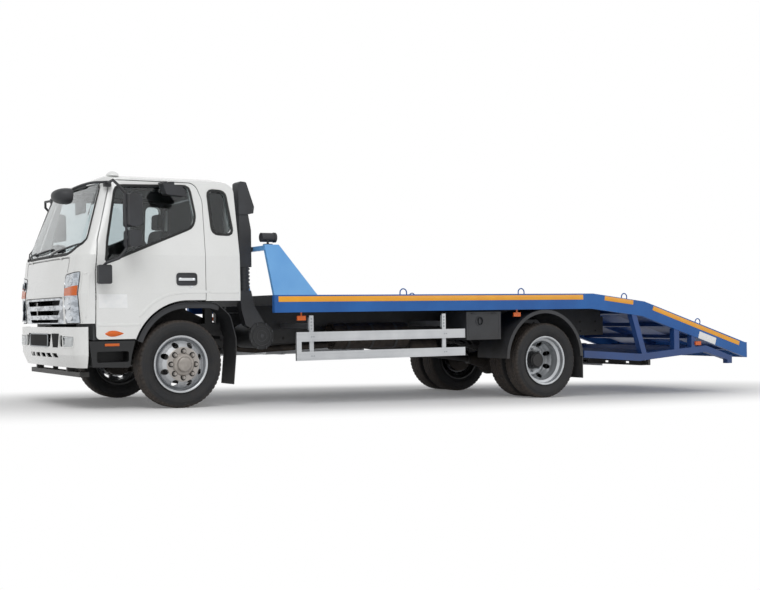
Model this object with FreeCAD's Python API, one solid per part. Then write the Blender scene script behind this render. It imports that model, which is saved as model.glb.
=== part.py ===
import FreeCAD, Part
import math
import os

# Flatbed tow truck: two-axle cab-over chassis with a fixed platform that breaks down to a low tail.
# Millimetres. X points forward, Y to the vehicle's left, Z up from the ground.
# Pieces are drawn on a level chassis with X = 0 at the front axle; the sprung pieces are then
# tipped by the rake, and the whole vehicle is moved so that X = 0 is the middle of its length.

V = FreeCAD.Vector
TO_X = V(1, 0, 0)
TO_Y = V(0, 1, 0)
TO_Z = V(0, 0, 1)

# ---------------------------------------------------------------- driving dimensions
wheelbase = 4730.0
rake_deg = 1.276            # the empty chassis sits higher at the rear
running_gap = 0.3           # shaft in its bore, and a piece that rests on its seat
shut_gap = 8.0              # door and lid shut lines

# wheels: 22.5 in drop-centre rims with 255/70 tyres
tyre_radius = 458.0
tyre_width = 255.0
tyre_shoulder = 34.0
bead_radius = 287.0
flange_radius = 298.0
rim_width = 216.0
well_radius = 252.0
rim_wall = 9.0
disc_wall = 12.0
disc_offset = 155.0         # rim centre line to the disc's mounting face
stud_circle = 275.0
stud_count = 8
stud_radius = 11.0
nut_radius = 17.0
nut_height = 26.0
hand_hole_radius = 31.0
hand_hole_circle = 418.0
front_wheel_y = 988.0
rear_outer_y = 1082.0
twin_spacing = 318.0
front_drum_radius = 205.0
rear_drum_radius = 208.0

# front axle and knuckles
kingpin_y = 810.0
kingpin_radius = 20.0
fist_radius = 46.0
fist_height = 90.0
ear_height = 34.0
spindle_radius = 34.0
beam_drop = 95.0
beam_width = 92.0
beam_height = 76.0
steer_limit_deg = 32.0

# rear axle
axle_tube_radius = 66.0
banjo_radius = 205.0
banjo_width = 190.0
axle_nose = 210.0
rear_spindle_radius = 46.0

# chassis frame
frame_width = 860.0
rail_top = 870.0
rail_depth = 240.0
rail_flange = 72.0
rail_wall = 8.0
frame_front_x = 1000.0
rail_low = rail_top - rail_depth
crossmember_low = rail_low + 60.0
crossmember_high = rail_top - 30.0
frame_rear_x = -6330.0
crossmember_xs = (880.0, -1050.0, -2300.0, -3500.0, -5600.0, -6250.0)

# leaf springs: half span, eye height above the pad, leaf width, leaves, thickness
spring_y = 392.0
leaf_width = 74.0
leaf_thickness = 13.0
front_spring_half = 760.0
rear_spring_half = 840.0
spring_rise = 95.0
spring_pad_rise = 70.0

# platform: side rails follow a level run, a first break and a steep tail
bed_width = 2500.0
bed_front_x = -1014.0
bed_top_z = 1171.0
break_x = -5450.0
break_deg = 7.0
tail_break_x = -6310.0
tail_deg = 17.3
bed_rear_x = -8150.0
bed_rail_depth = 190.0
bed_rail_width = 55.0
bed_rail_wall = 6.0
deck_recess = 16.0
deck_plate = 5.0
bearer_width = 70.0
bearer_y = 395.0
cross_beam_depth = 60.0
cross_beam_pitch = 620.0

# lashing loops on the side rails
tie_xs = (-2662.0, -4345.0, -5987.0, -7268.0)

# headboard
wing_wall = 8.0
wing_top_z = 1712.0
wing_top_x = (-903.0, -1074.0)
wing_foot_x = -1537.0
head_tube = 50.0
head_post_y = 560.0

# tail support frame under the platform's low end
tail_tube = 86.0
tail_tube_y = 1205.0
foot_depth = 90.0

# loading ramps in their pockets
ramp_length = 1700.0
ramp_width = 400.0
ramp_height = 60.0
ramp_y = 700.0
ramp_travel = 1450.0
ramp_clearance = 6.0
pocket_wall = 5.0

# cab
cab_rear_x = -670.0
cab_corner = 205.0
cab_bow = 30.0
cab_wall = 46.0
roof_wall = 40.0
door_wall = 62.0
glass_wall = 6.0
glass_inset = 14.0
cab_low_z = 725.0
arch_floor_z = 1156.0
floor_wall = 36.0
tunnel_half = 470.0
tunnel_front_x = 860.0
tunnel_top_z = 1190.0
roof_split_z = 2395.0
belt_z = 1590.0
lid_foot_z = 1160.0
cab_foot_z = 895.0
pivot_x = 1080.0
pivot_z = 715.0
pivot_radius = 26.0
pivot_arm_y = 446.0
cab_tilt_limit_deg = 40.0
door_limit_deg = 65.0
hinge_x = 880.0
hinge_y = 1108.0
hinge_zs = (1140.0, 1440.0)
hinge_height = 60.0
hinge_pin_radius = 5.0
hinge_gap = 12.0
door_front_x = 921.0
arch_x = -72.0
arch_z = 520.0
arch_radius = 595.0
arch_open_deg = 19.2
liner_gap = 17.0
lid_half = 815.0
lid_top_z = 1572.0
lid_wall = 18.0
lid_limit_deg = 70.0
lid_hinge_x = 1104.0
lid_hinge_y = 570.0
lid_hinge_z = 1578.0

# air filter drum
filter_x = -980.0
filter_z = 730.0
filter_rim = 148.0

# bumper and steps
bumper_top_z = 862.0
bumper_foot_z = 448.0
bumper_rear_x = 992.0
bumper_wall = 14.0
bumper_half = 1118.0
bumper_corner = 190.0


# ---------------------------------------------------------------- small helpers
def box(x, y, z):
    """Block between two values on each axis."""
    return Part.makeBox(x[1] - x[0], y[1] - y[0], z[1] - z[0], V(x[0], y[0], z[0]))


def rounded_wire(corners, place):
    """Closed outline of lines and tangent arcs; a corner is (u, v) or (u, v, radius)."""
    edges = []
    starts = []
    ends = []
    count = len(corners)
    for i in range(count):
        here = V(corners[i][0], corners[i][1], 0)
        before = V(corners[i - 1][0], corners[i - 1][1], 0)
        after = V(corners[(i + 1) % count][0], corners[(i + 1) % count][1], 0)
        radius = corners[i][2] if len(corners[i]) > 2 else 0.0
        if radius <= 0:
            starts.append(here)
            ends.append((here, None))
            continue
        back = (before - here).normalize()
        ahead = (after - here).normalize()
        half = math.acos(max(-1.0, min(1.0, back.dot(ahead)))) / 2
        reach = radius / math.tan(half)
        centre = here + (back + ahead).normalize() * (radius / math.sin(half))
        middle = centre + (here - centre).normalize() * radius
        starts.append(here + back * reach)
        ends.append((here + ahead * reach, middle))
    for i in range(count):
        leave, middle = ends[i]
        if middle is not None:
            arc = [place(p.x, p.y) for p in (starts[i], middle, leave)]
            edges.append(Part.Arc(*arc).toShape())
        arrive = starts[(i + 1) % count]
        if (arrive - leave).Length > 1e-6:
            edges.append(Part.LineSegment(place(leave.x, leave.y), place(arrive.x, arrive.y)).toShape())
    return Part.Wire(Part.__sortEdges__(edges))


def side_prism(corners, y):
    """Outline in X and Z, carried along Y."""
    wire = rounded_wire(corners, lambda u, v: V(u, y[0], v))
    return Part.Face(wire).extrude(V(0, y[1] - y[0], 0))


def front_prism(corners, x):
    """Outline in Y and Z, carried along X."""
    wire = rounded_wire(corners, lambda u, v: V(x[0], u, v))
    return Part.Face(wire).extrude(V(x[1] - x[0], 0, 0))


def plan_prism(corners, z):
    """Outline in X and Y, carried along Z."""
    wire = rounded_wire(corners, lambda u, v: V(u, v, z[0]))
    return Part.Face(wire).extrude(V(0, 0, z[1] - z[0]))


def rod(start, end, radius):
    """Round bar between two points."""
    return Part.makeCylinder(radius, (end - start).Length, start, end - start)


def turned(profile, centre):
    """Outline of (y, radius) corners turned about the Y axis through centre."""
    wire = rounded_wire(profile, lambda u, v: V(centre.x, centre.y + u, centre.z + v))
    return Part.Face(wire).revolve(centre, TO_Y, 360)


def fused(pieces):
    first = pieces[0]
    return first.fuse(pieces[1:]).removeSplitter() if len(pieces) > 1 else first


def both_sides(shape):
    """The left-hand piece and its mirror image, as one shape of separate solids."""
    return Part.makeCompound([shape, mirrored(shape)])


def mirrored(shape):
    return shape.mirror(V(0, 0, 0), TO_Y)


def ring(count, circle, angle_start=0.0):
    """Points (x, z) of a bolt circle."""
    for i in range(count):
        angle = math.radians(angle_start + 360.0 * i / count)
        yield circle / 2 * math.cos(angle), circle / 2 * math.sin(angle)


def tipped(shape):
    """A sprung piece at its parked rake."""
    turned_shape = shape.copy()
    turned_shape.rotate(V(0, 0, tyre_radius), TO_Y, rake_deg)
    return turned_shape


def level_to_sprung(x, z):
    """Where a point fixed to the level axles lies in the sprung drawing."""
    angle = math.radians(rake_deg)
    dz = z - tyre_radius
    return x * math.cos(angle) - dz * math.sin(angle), tyre_radius + x * math.sin(angle) + dz * math.cos(angle)


# ---------------------------------------------------------------- platform line
def bed_line(depth):
    """Corners of the platform's top line moved down square to itself by depth, front to rear."""
    first = math.radians(break_deg)
    second = math.radians(tail_deg)
    tail_drop = (break_x - tail_break_x) * math.tan(first)
    points = [
        (bed_front_x, bed_top_z - depth),
        (break_x + depth * math.tan(first / 2), bed_top_z - depth),
    ]
    mitre = (first + second) / 2
    points.append((tail_break_x + depth * math.sin(mitre) / math.cos((second - first) / 2),
                   bed_top_z - tail_drop - depth * math.cos(mitre) / math.cos((second - first) / 2)))
    last_x, last_z = points[-1]
    points.append((bed_rear_x, last_z - (last_x - bed_rear_x) * math.tan(second)))
    return points


def bed_band(upper, lower, y, front_x=None, rear_x=None):
    """Strip of the platform between two depths under its top line."""
    band = side_prism(bed_line(upper) + bed_line(lower)[::-1], y)
    if front_x is not None:
        band = band.common(box((rear_x, front_x), (-3000, 3000), (-1000, 3000)))
    return band


def tail_place(along, depth):
    """Sprung point on the tail: along it from the steep break, depth square under the top line."""
    slope = math.radians(tail_deg)
    crest_z = bed_top_z - (break_x - tail_break_x) * math.tan(math.radians(break_deg))
    return (tail_break_x - along * math.cos(slope) + depth * math.sin(slope),
            crest_z - along * math.sin(slope) - depth * math.cos(slope))


# ---------------------------------------------------------------- wheels
def rim(centre_y, side):
    """Drop-centre rim and its disc; side +1 has the disc bulging towards +Y."""
    half = rim_width / 2
    w = rim_wall
    outer = [(-half, flange_radius), (-half + 13, flange_radius), (-half + 15, bead_radius, 4),
             (-45, bead_radius - 6, 6), (-30, well_radius, 8), (22, well_radius, 8),
             (38, bead_radius - 6, 6), (half - 15, bead_radius, 4), (half - 13, flange_radius),
             (half, flange_radius)]
    inner = [(half, flange_radius - w), (half - 6, bead_radius - w), (44, bead_radius - w - 6),
             (27, well_radius - w), (-35, well_radius - w), (-51, bead_radius - w - 6),
             (-half + 6, bead_radius - w), (-half, flange_radius - w)]
    centre = V(0, centre_y, tyre_radius)
    barrel = turned([(side * p[0],) + p[1:] for p in outer + inner], centre)
    face = disc_offset
    dish = [(24, well_radius - w + 3), (70, 238, 30), (face - 34, 206, 26), (face - 2, 178, 12),
            (face, 172), (face, 111), (face + disc_wall, 111), (face + disc_wall, 178, 14),
            (face - 24, 214, 26), (84, 246, 26), (40, well_radius - w + 3)]
    disc = turned([(side * p[0],) + p[1:] for p in dish], centre)
    for x, z in ring(8, hand_hole_circle, 22.5):
        start = V(x, centre_y + side * 10, tyre_radius + z)
        disc = disc.cut(rod(start, start + V(0, side * 200, 0), hand_hole_radius))
    return barrel.fuse(disc)


def tyre(centre_y):
    half = tyre_width / 2
    s = tyre_shoulder
    bead = rim_width / 2 - 17
    profile = [(-bead, bead_radius + 0.5), (-bead - 2, flange_radius + 14, 6), (-half, 372, 50),
               (-half + 12, tyre_radius, s), (half - 12, tyre_radius, s), (half, 372, 50),
               (bead + 2, flange_radius + 14, 6), (bead, bead_radius + 0.5),
               (bead - 24, bead_radius + 8, 8), (half - 26, 372, 40), (half - 40, tyre_radius - 26, 20),
               (-half + 40, tyre_radius - 26, 20), (-half + 26, 372, 40), (-bead + 24, bead_radius + 8, 8)]
    return turned(profile, V(0, centre_y, tyre_radius))


def nuts(face_y, side):
    pieces = []
    for x, z in ring(stud_count, stud_circle):
        start = V(x, face_y, tyre_radius + z)
        pieces.append(rod(start, start + V(0, side * nut_height, 0), nut_radius))
        pieces.append(rod(start, start + V(0, side * (nut_height + 14), 0), stud_radius))
    return pieces


def front_wheel():
    """Left front rim with its hub, brake drum and nuts, bored for the spindle."""
    face = front_wheel_y + disc_offset
    hub = turned([(face - 150, 92), (face - 14, 92), (face - 14, 168), (face, 168), (face, 110),
                  (face + 30, 108, 6), (face + 34, 76), (face + 66, 72, 10), (face + 66, 0),
                  (face + 20, 0), (face + 20, spindle_radius + running_gap),
                  (face - 150, spindle_radius + running_gap)], V(0, 0, tyre_radius))
    drum = turned([(face - 160, front_drum_radius), (face - 24, front_drum_radius, 8), (face - 14, 150, 4),
                   (face - 14, 90), (face - 26, 90), (face - 36, 140, 4), (face - 36, front_drum_radius - 16, 6),
                   (face - 160, front_drum_radius - 16)], V(0, 0, tyre_radius))
    return fused([rim(front_wheel_y, 1), hub, drum] + nuts(face + disc_wall, 1))


def rear_wheel():
    """Left twin wheels' rims with hub, drum and nuts, bored for the axle tube."""
    face = rear_outer_y - disc_offset
    inner_y = rear_outer_y - twin_spacing
    bore = rear_spindle_radius + running_gap
    hub = turned([(inner_y - 40, 90), (face - 30, 90), (face - 30, 150), (face - disc_wall, 168),
                  (face - disc_wall, 112), (face + 10, 110), (face + 100, 96, 8), (face + 108, 84),
                  (face + 122, 80, 6), (face + 122, 0), (face + 100, 0), (face + 100, bore),
                  (inner_y - 40, bore)], V(0, 0, tyre_radius))
    drum = turned([(inner_y - 70, rear_drum_radius), (face - 60, rear_drum_radius, 10), (face - 34, 150, 6),
                   (face - 34, 88), (face - 48, 88), (face - 48, 140, 6), (face - 72, rear_drum_radius - 18, 8),
                   (inner_y - 70, rear_drum_radius - 18)], V(0, 0, tyre_radius))
    link = turned([(face - 36, 92), (face - 36, 152), (face - 28, 152), (face - 28, 92)], V(0, 0, tyre_radius))
    return fused([rim(rear_outer_y, -1), rim(inner_y, 1), hub, drum, link] + nuts(face, 1))


# ---------------------------------------------------------------- axles, knuckles, springs
def knuckle():
    """Left steering knuckle: kingpin with two ears round the beam's fist, and the spindle."""
    z = tyre_radius
    half = fist_height / 2
    top = half + running_gap + ear_height
    pin = rod(V(0, kingpin_y, z - top), V(0, kingpin_y, z + top), kingpin_radius)
    ears = []
    for low in (-top, half + running_gap):
        ears.append(rod(V(0, kingpin_y, z + low), V(0, kingpin_y, z + low + ear_height), fist_radius))
        ears.append(box((-32, 32), (kingpin_y, kingpin_y + 92), (z + low, z + low + ear_height)))
    yoke_y = kingpin_y + fist_radius + 12
    yoke = box((-45, 45), (yoke_y, yoke_y + 28), (z - top, z + top))
    tip = front_wheel_y + disc_offset + 10
    spindle = rod(V(0, yoke_y, z), V(0, tip, z), spindle_radius)
    plate = rod(V(0, yoke_y + 20, z), V(0, yoke_y + 26, z), front_drum_radius - 22)
    return fused([pin, yoke, spindle, plate] + ears)


def front_axle():
    """Dropped I-shaped beam between two bored fists, with spring pads."""
    z = tyre_radius
    low = z - beam_drop
    outline = [(-kingpin_y, z - fist_height / 2), (-kingpin_y + 130, z - fist_height / 2, 60),
               (-spring_y - 90, low - beam_height / 2, 60), (spring_y + 90, low - beam_height / 2, 60),
               (kingpin_y - 130, z - fist_height / 2, 60), (kingpin_y, z - fist_height / 2),
               (kingpin_y, z + fist_height / 2), (kingpin_y - 110, z + fist_height / 2, 40),
               (spring_y + 120, low + beam_height / 2, 60), (-spring_y - 120, low + beam_height / 2, 60),
               (-kingpin_y + 110, z + fist_height / 2, 40), (-kingpin_y, z + fist_height / 2)]
    beam = front_prism(outline, (-beam_width / 2, beam_width / 2))
    web = box((10, beam_width), (-spring_y - 60, spring_y + 60), (low - beam_height / 2 + 14, low + beam_height / 2 - 14))
    beam = beam.cut(web).cut(web.mirror(V(0, 0, 0), TO_X))
    pieces = [beam]
    for side in (-1, 1):
        pieces.append(rod(V(0, side * kingpin_y, z - fist_height / 2), V(0, side * kingpin_y, z + fist_height / 2),
                          fist_radius))
        pieces.append(box((-90, 90), (side * spring_y - 45, side * spring_y + 45),
                          (low + beam_height / 2 - 10, low + beam_height / 2 + 12)))
    axle = fused(pieces)
    for side in (-1, 1):
        axle = axle.cut(rod(V(0, side * kingpin_y, z - 80), V(0, side * kingpin_y, z + 80),
                            kingpin_radius + running_gap))
        reach = yoke_clearance(side)
        axle = axle.cut(reach)
    return axle


def yoke_clearance(side):
    """Room for the knuckle's yoke at full lock, outboard of the fist."""
    y = side * (kingpin_y + fist_radius)
    return box((-200, 200), sorted((y, y + side * 200)), (0, 1000))


def rear_axle():
    """Drive axle housing with its bowl, tubes, spindles and the propeller shaft."""
    x, z = level_to_sprung(-wheelbase, tyre_radius)
    reach = rear_outer_y - disc_offset + 90
    inner = rear_outer_y - twin_spacing
    tube = rod(V(x, -inner + 110, z), V(x, inner - 110, z), axle_tube_radius)
    spindles = rod(V(x, -reach, z), V(x, reach, z), rear_spindle_radius)
    half = banjo_width / 2
    bowl_wire = rounded_wire([(-half, 0), (-half, banjo_radius - 60, 50), (-30, banjo_radius, 40),
                              (30, banjo_radius, 40), (half, banjo_radius - 60, 50), (half, 0)],
                             lambda u, v: V(x + u, 0, z + v))
    bowl = Part.Face(bowl_wire).revolve(V(x, 0, z), TO_X, 360)
    nose = Part.makeCone(130, 62, axle_nose + 20, V(x + half - 20, 0, z), TO_X)
    plates = []
    for side in (-1, 1):
        y = side * (inner - 120)
        plates.append(rod(V(x, y, z), V(x, y + side * 10, z), rear_drum_radius - 24))
        plates.append(box((x - 90, x + 90), (side * spring_y - 45, side * spring_y + 45),
                          (z, z + spring_pad_rise)))
    return fused([tube, spindles, bowl, nose] + plates)


def propeller_shaft():
    """Two-piece shaft from the gearbox to the axle's nose, with its joints and centre bearing."""
    x, z = level_to_sprung(-wheelbase, tyre_radius)
    front = V(engine_rear_x - running_gap, 0, engine_base_z + 130)
    bearing = V(crossmember_xs[2], 0, crossmember_low - 50)
    rear = V(x + banjo_width / 2 + axle_nose + running_gap, 0, z)
    flange = V(30, 0, 0)
    pieces = [rod(front - flange / 2, bearing, 40), rod(bearing, rear + flange / 2, 40)]
    pieces += [rod(front - flange, front, 62), rod(rear, rear + flange, 62)]
    pieces.append(rod(bearing - V(60, 0, 0), bearing - V(130, 0, 4), 60))
    pieces.append(box((bearing.x - 30, bearing.x + 30), (-130, 130), (bearing.z - 20, crossmember_low)))
    return fused(pieces)


def leaf_pack(centre_x, pad_z, half_span, leaves):
    """Arched leaves of falling length, stacked under the main leaf with its eyes."""
    radius = (half_span ** 2 + spring_rise ** 2) / (2 * spring_rise)
    main_z = pad_z + leaves * leaf_thickness
    crown = V(centre_x, spring_y - leaf_width / 2, main_z + radius)
    pieces = []
    for i in range(leaves):
        outer = radius + i * leaf_thickness
        reach = half_span * (1 - 0.8 * i / leaves)
        band = Part.makeCylinder(outer + leaf_thickness, leaf_width, crown, TO_Y)
        band = band.cut(Part.makeCylinder(outer, leaf_width, crown, TO_Y))
        window = box((centre_x - reach, centre_x + reach), (0, 1000), (pad_z - 10, main_z + 2 * spring_rise))
        pieces.append(band.common(window))
    for side in (-1, 1):
        eye = V(centre_x + side * half_span, spring_y - leaf_width / 2, main_z + spring_rise)
        pieces.append(Part.makeCylinder(28, leaf_width, eye, TO_Y))
        hanger_top = rail_top - rail_depth
        pieces.append(side_prism([(eye.x - 45, hanger_top), (eye.x + 45, hanger_top),
                                  (eye.x + 30, eye.z - 30, 20), (eye.x - 30, eye.z - 30, 20)],
                                 (spring_y - leaf_width / 2 - 14, spring_y - leaf_width / 2 - 1)))
        pieces.append(box((eye.x - 45, eye.x + 45), (spring_y - leaf_width / 2 - 14, frame_width / 2),
                          (hanger_top - 8, hanger_top)))
        pieces.append(Part.makeCylinder(14, leaf_width + 30, eye - V(0, 14, 0), TO_Y))
    clamp = box((centre_x - 60, centre_x + 60), (spring_y - leaf_width / 2 - 8, spring_y + leaf_width / 2 + 8),
                (pad_z, main_z + 22))
    pieces.append(clamp)
    return fused(pieces)


def leaf_springs():
    front = leaf_pack(0.0, tyre_radius - beam_drop + beam_height / 2 + 12, front_spring_half, 4)
    x, z = level_to_sprung(-wheelbase, tyre_radius)
    rear = leaf_pack(x, z + spring_pad_rise, rear_spring_half, 6)
    return Part.makeCompound([front, mirrored(front), rear, mirrored(rear)])


# ---------------------------------------------------------------- chassis
engine_front_x = 700.0
engine_rear_x = -900.0
engine_base_z = 500.0
engine_top_z = 1120.0
engine_half = 330.0


def frame_rails():
    """Two channel rails, their crossmembers, the cab pivot tube and the cab's rear rest."""
    half = frame_width / 2
    rail = box((frame_rear_x, frame_front_x), (half - rail_flange, half), (rail_low, rail_top))
    rail = rail.cut(box((frame_rear_x - 1, frame_front_x + 1), (0, half - rail_wall),
                        (rail_low + rail_wall, rail_top - rail_wall)))
    pieces = [rail, mirrored(rail)]
    inner = half - rail_wall
    for x in crossmember_xs:
        beam = box((x - 40, x + 40), (-inner, inner), (crossmember_low, crossmember_high))
        pieces.append(beam.cut(box((x - 40 + rail_wall, x + 41), (-inner + 60, inner - 60),
                                   (crossmember_low + rail_wall, crossmember_high - rail_wall))))
    for side in (-1, 1):
        plate = side_prism([(frame_front_x - 160, rail_low + 30), (frame_front_x, rail_low + 30),
                            (pivot_x + 36, pivot_z - 36, 30), (pivot_x + 36, pivot_z + 36, 30),
                            (frame_front_x, pivot_z + 70), (frame_front_x - 160, pivot_z + 70)],
                           sorted((side * (inner - 12), side * inner)))
        pieces.append(plate)
    pieces.append(rod(V(pivot_x, -pivot_arm_y - 14, pivot_z), V(pivot_x, pivot_arm_y + 14, pivot_z), pivot_radius))
    rest_z = tunnel_top_z - floor_wall - running_gap
    rest = box((cab_rear_x + 30, cab_rear_x + 120), (-half, half), (rail_top, rest_z))
    rest = rest.cut(box((cab_rear_x, cab_rear_x + 200), (-half + 70, half - 70), (rail_top - 1, rest_z - 70)))
    pieces.append(rest)
    return fused(pieces)


def engine_block():
    """Engine and gearbox as one plain block on four mounts between the rails."""
    block = side_prism([(engine_front_x, engine_base_z + 120, 60), (engine_front_x, engine_top_z, 40),
                        (-150, engine_top_z, 40), (engine_rear_x + 250, 900, 60), (engine_rear_x, 800, 40),
                        (engine_rear_x, engine_base_z + 30, 20), (-200, engine_base_z, 60),
                        (380, engine_base_z, 60)], (-engine_half, engine_half))
    reach = frame_width / 2 - rail_wall
    mounts = [box((x, x + 90), (-reach, reach), (700, 760)) for x in (360, -560)]
    return fused([block] + mounts)


def fuel_tank():
    """Rectangular tank with rounded edges on the right, on two brackets with straps."""
    y = (-frame_width / 2 - 620, -frame_width / 2 - 60)
    corners = [(y[0], 470, 70), (y[1], 470, 70), (y[1], 930, 70), (y[0], 930, 70)]
    tank = front_prism(corners, (-2950, -1750))
    pieces = [tank]
    for x in (-2720, -2020):
        strap = front_prism([(y[0] - 6, 464, 74), (y[1] + 6, 464, 74), (y[1] + 6, 936, 74), (y[0] - 6, 936, 74)],
                            (x, x + 50))
        arm = box((x, x + 50), (y[1] - 60, -frame_width / 2), (640, 800))
        pieces += [strap, arm]
    cap = rod(V(-1900, y[0] + 90, 900), V(-1900, y[0] + 50, 965), 48)
    return fused(pieces + [cap])


def silencer():
    """Exhaust pipe and silencer drum, and an air tank, on the left behind the side guard."""
    y = frame_width / 2
    drum = rod(V(-2000, y + 245, 700), V(-3000, y + 245, 700), 150)
    bosses = rod(V(-1985, y + 245, 700), V(-3015, y + 245, 700), 120)
    start = V(engine_rear_x - running_gap, 250, 590)
    bend = V(-1250, 250, 560)
    pipe = [rod(start - V(12, 0, 0), bend, 38), rod(bend, V(-2010, y + 200, 606), 38),
            Part.makeSphere(38, bend), rod(start, start - V(16, 0, 0), 60)]
    hangers = [box((x, x + 40), (y, y + 245), (700, 760)) for x in (-2200, -2840)]
    tank = rod(V(-3060, y + 200, 560), V(-3440, y + 200, 560), 100)
    bracket = box((-3290, -3240), (y, y + 200), (640, 690))
    link = box((-3290, -3240), (y + 150, y + 200), (560, 690))
    return Part.makeCompound([fused([drum, bosses] + pipe + hangers), fused([tank, bracket, link])])


def air_filter():
    """Drum whose ribbed cover faces outwards, with its bracket to the rail."""
    x, z = filter_x, filter_z
    drum = turned([(500, 0), (500, 135, 8), (960, 135, 4), (960, filter_rim, 4), (985, filter_rim, 4),
                   (990, 130, 6), (996, 40, 4), (996, 0)], V(x, 0, z))
    pieces = [drum, box((x - 70, x + 70), (frame_width / 2, 520), (z - 80, z + 80))]
    for px, pz in ring(8, 220):
        pieces.append(rod(V(x, 985, z), V(x + px, 985, z + pz), 7))
    return fused(pieces)


def snorkel():
    """Raised intake behind the cab: wedge head, duct, bellows and the flared elbow to the filter."""
    y = (860, 985)
    head = side_prism([(-722, 2050), (-722, 2385, 10), (-745, 2405, 12), (-812, 2400, 25), (-905, 2135, 10),
                       (-895, 2062, 10), (-800, 2050)], (840, 1000))
    duct = side_prism([(-730, 1480), (-730, 2060), (-838, 2060), (-872, 1880, 60), (-872, 1480)], y)
    rings = [rod(V(-803, 922, z), V(-803, 922, z + 22), 68) for z in range(1250, 1451, 40)]
    core = rod(V(-803, 922, 1215), V(-803, 922, 1490), 58)
    elbow = side_prism([(-738, 1225), (-868, 1225), (-905, 1060, 60), (-980, 940, 30), (-1035, 850, 10),
                        (-900, 792, 10), (-800, 850, 30), (-752, 1010, 60)], (870, 975))
    tube_x = wing_top_x[0] - head_tube + 20
    bracket = box((tube_x + head_tube / 2, -860), (900, 945), (wing_top_z - 55, wing_top_z - 15))
    shape = fused([head, duct, core, elbow, bracket] + rings)
    return shape.cut(rod(V(filter_x, 400, filter_z), V(filter_x, 1010, filter_z), filter_rim + running_gap))


def guard_bracket(x):
    post = box((x - 26, x + 26), (1150, 1168), (452, 945))
    arm = box((x - 20, x + 20), (frame_width / 2, 1160), (800, 860))
    return [post, arm]


def side_guards():
    """Two broad rails a side on posts hung from the chassis; the left one closes at its front."""
    rear_x = -3525.0
    upper = box((rear_x, -1300), (1168, 1198), (660, 765))
    lower = box((rear_x, -1300), (1168, 1198), (452, 550))
    end = box((-1360, -1300), (1168, 1198), (500, 700))
    pieces = [upper, lower, end]
    for x in (-1500, -3250):
        pieces += guard_bracket(x)
    return both_sides(fused(pieces))


def toolbox():
    """Locker with a dished latch, hung on the left rail."""
    shell = box((-4050, -3550), (760, 1200), (630, 960))
    latch = rod(V(-3740, 1180, 850), V(-3740, 1201, 850), 46)
    arms = [box((x, x + 50), (frame_width / 2, 761), (780, 840)) for x in (-3950, -3700)]
    return fused([shell.cut(latch)] + arms)


def arch_corner(radius):
    """Corner whose fillet is the wheel arch: crown tangent and the front edge's tangent."""
    angle = math.radians(arch_open_deg)
    return arch_x + radius * (1 - math.sin(angle)) / math.cos(angle), arch_z + radius


def arch_foot(radius):
    """Front end of the wheel arch's curve."""
    angle = math.radians(arch_open_deg)
    return arch_x + radius * math.cos(angle), arch_z + radius * math.sin(angle)


def front_mudguards():
    """Liners over the steered wheels with their flaps, on stays to the rails."""
    outer = arch_radius - liner_gap
    inner = outer - 8
    skin = side_prism([arch_foot(outer), arch_corner(outer) + (outer - 1,), (-400, arch_z + outer, 120),
                       (-560, 960, 140), (-624, 720, 60), (-624, 560), (-592, 225), (-584, 225), (-615, 560),
                       (-615, 718, 52), (-554, 954, 132), (-398, arch_z + inner, 112),
                       arch_corner(inner) + (inner - 1,), arch_foot(inner)], (780, 1112))
    skin = skin.cut(box((400, 540), (770, 905), (600, 745)))
    stay = box((-612, -570), (frame_width / 2, 800), (700, 740))
    return both_sides(fused([skin, stay]))


def rear_mudguards():
    """Half-round guards over the twin wheels with a flap behind."""
    x = -4695.0
    z = 385.0
    radius = 590.0
    y = (640, 1240)
    shell = Part.makeCylinder(radius, y[1] - y[0], V(x, y[0], z), TO_Y)
    shell = shell.cut(Part.makeCylinder(radius - 9, y[1] - y[0], V(x, y[0], z), TO_Y))
    shell = shell.common(box((x - 700, x + 700), y, (z + 10, z + 700)))
    lip = Part.makeCylinder(radius, 10, V(x, y[1] - 10, z), TO_Y)
    lip = lip.cut(Part.makeCylinder(radius - 42, 10, V(x, y[1] - 10, z), TO_Y))
    lip = lip.common(box((x - 700, x + 700), y, (z + 10, z + 700)))
    flap = box((x - radius, x - radius + 9), (660, 1235), (120, z + 60))
    stay_z = z + math.sqrt((radius - 5) ** 2 - 330 ** 2)
    stays = [rod(V(x + dx, frame_width / 2, stay_z), V(x + dx, y[0] + 10, stay_z), 18) for dx in (-330, 330)]
    return both_sides(fused([shell, lip, flap] + stays))


def level_outline(nose, half, corner, bow, rear_x, z):
    """Edges of a level outline: straight sides, round front corners and a bowed front."""
    x = nose - bow
    k = corner * (1 - math.sqrt(0.5))
    rear = V(rear_x, half, z)
    side = V(x - corner, half, z)
    bend = V(x - k, half - k, z)
    front = V(x, half - corner, z)
    other = [V(p.x, -p.y, p.z) for p in (rear, side, bend, front)]
    return [
        (other[0], other[1]),
        (other[1], other[2], other[3]),
        (other[3], V(nose, 0, z), front),
        (front, bend, side),
        (side, rear),
        (rear, other[0]),
    ]


def outline_edge(points):
    """Line through two points or arc through three."""
    return (Part.LineSegment(*points) if len(points) == 2 else Part.Arc(*points)).toShape()


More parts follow.
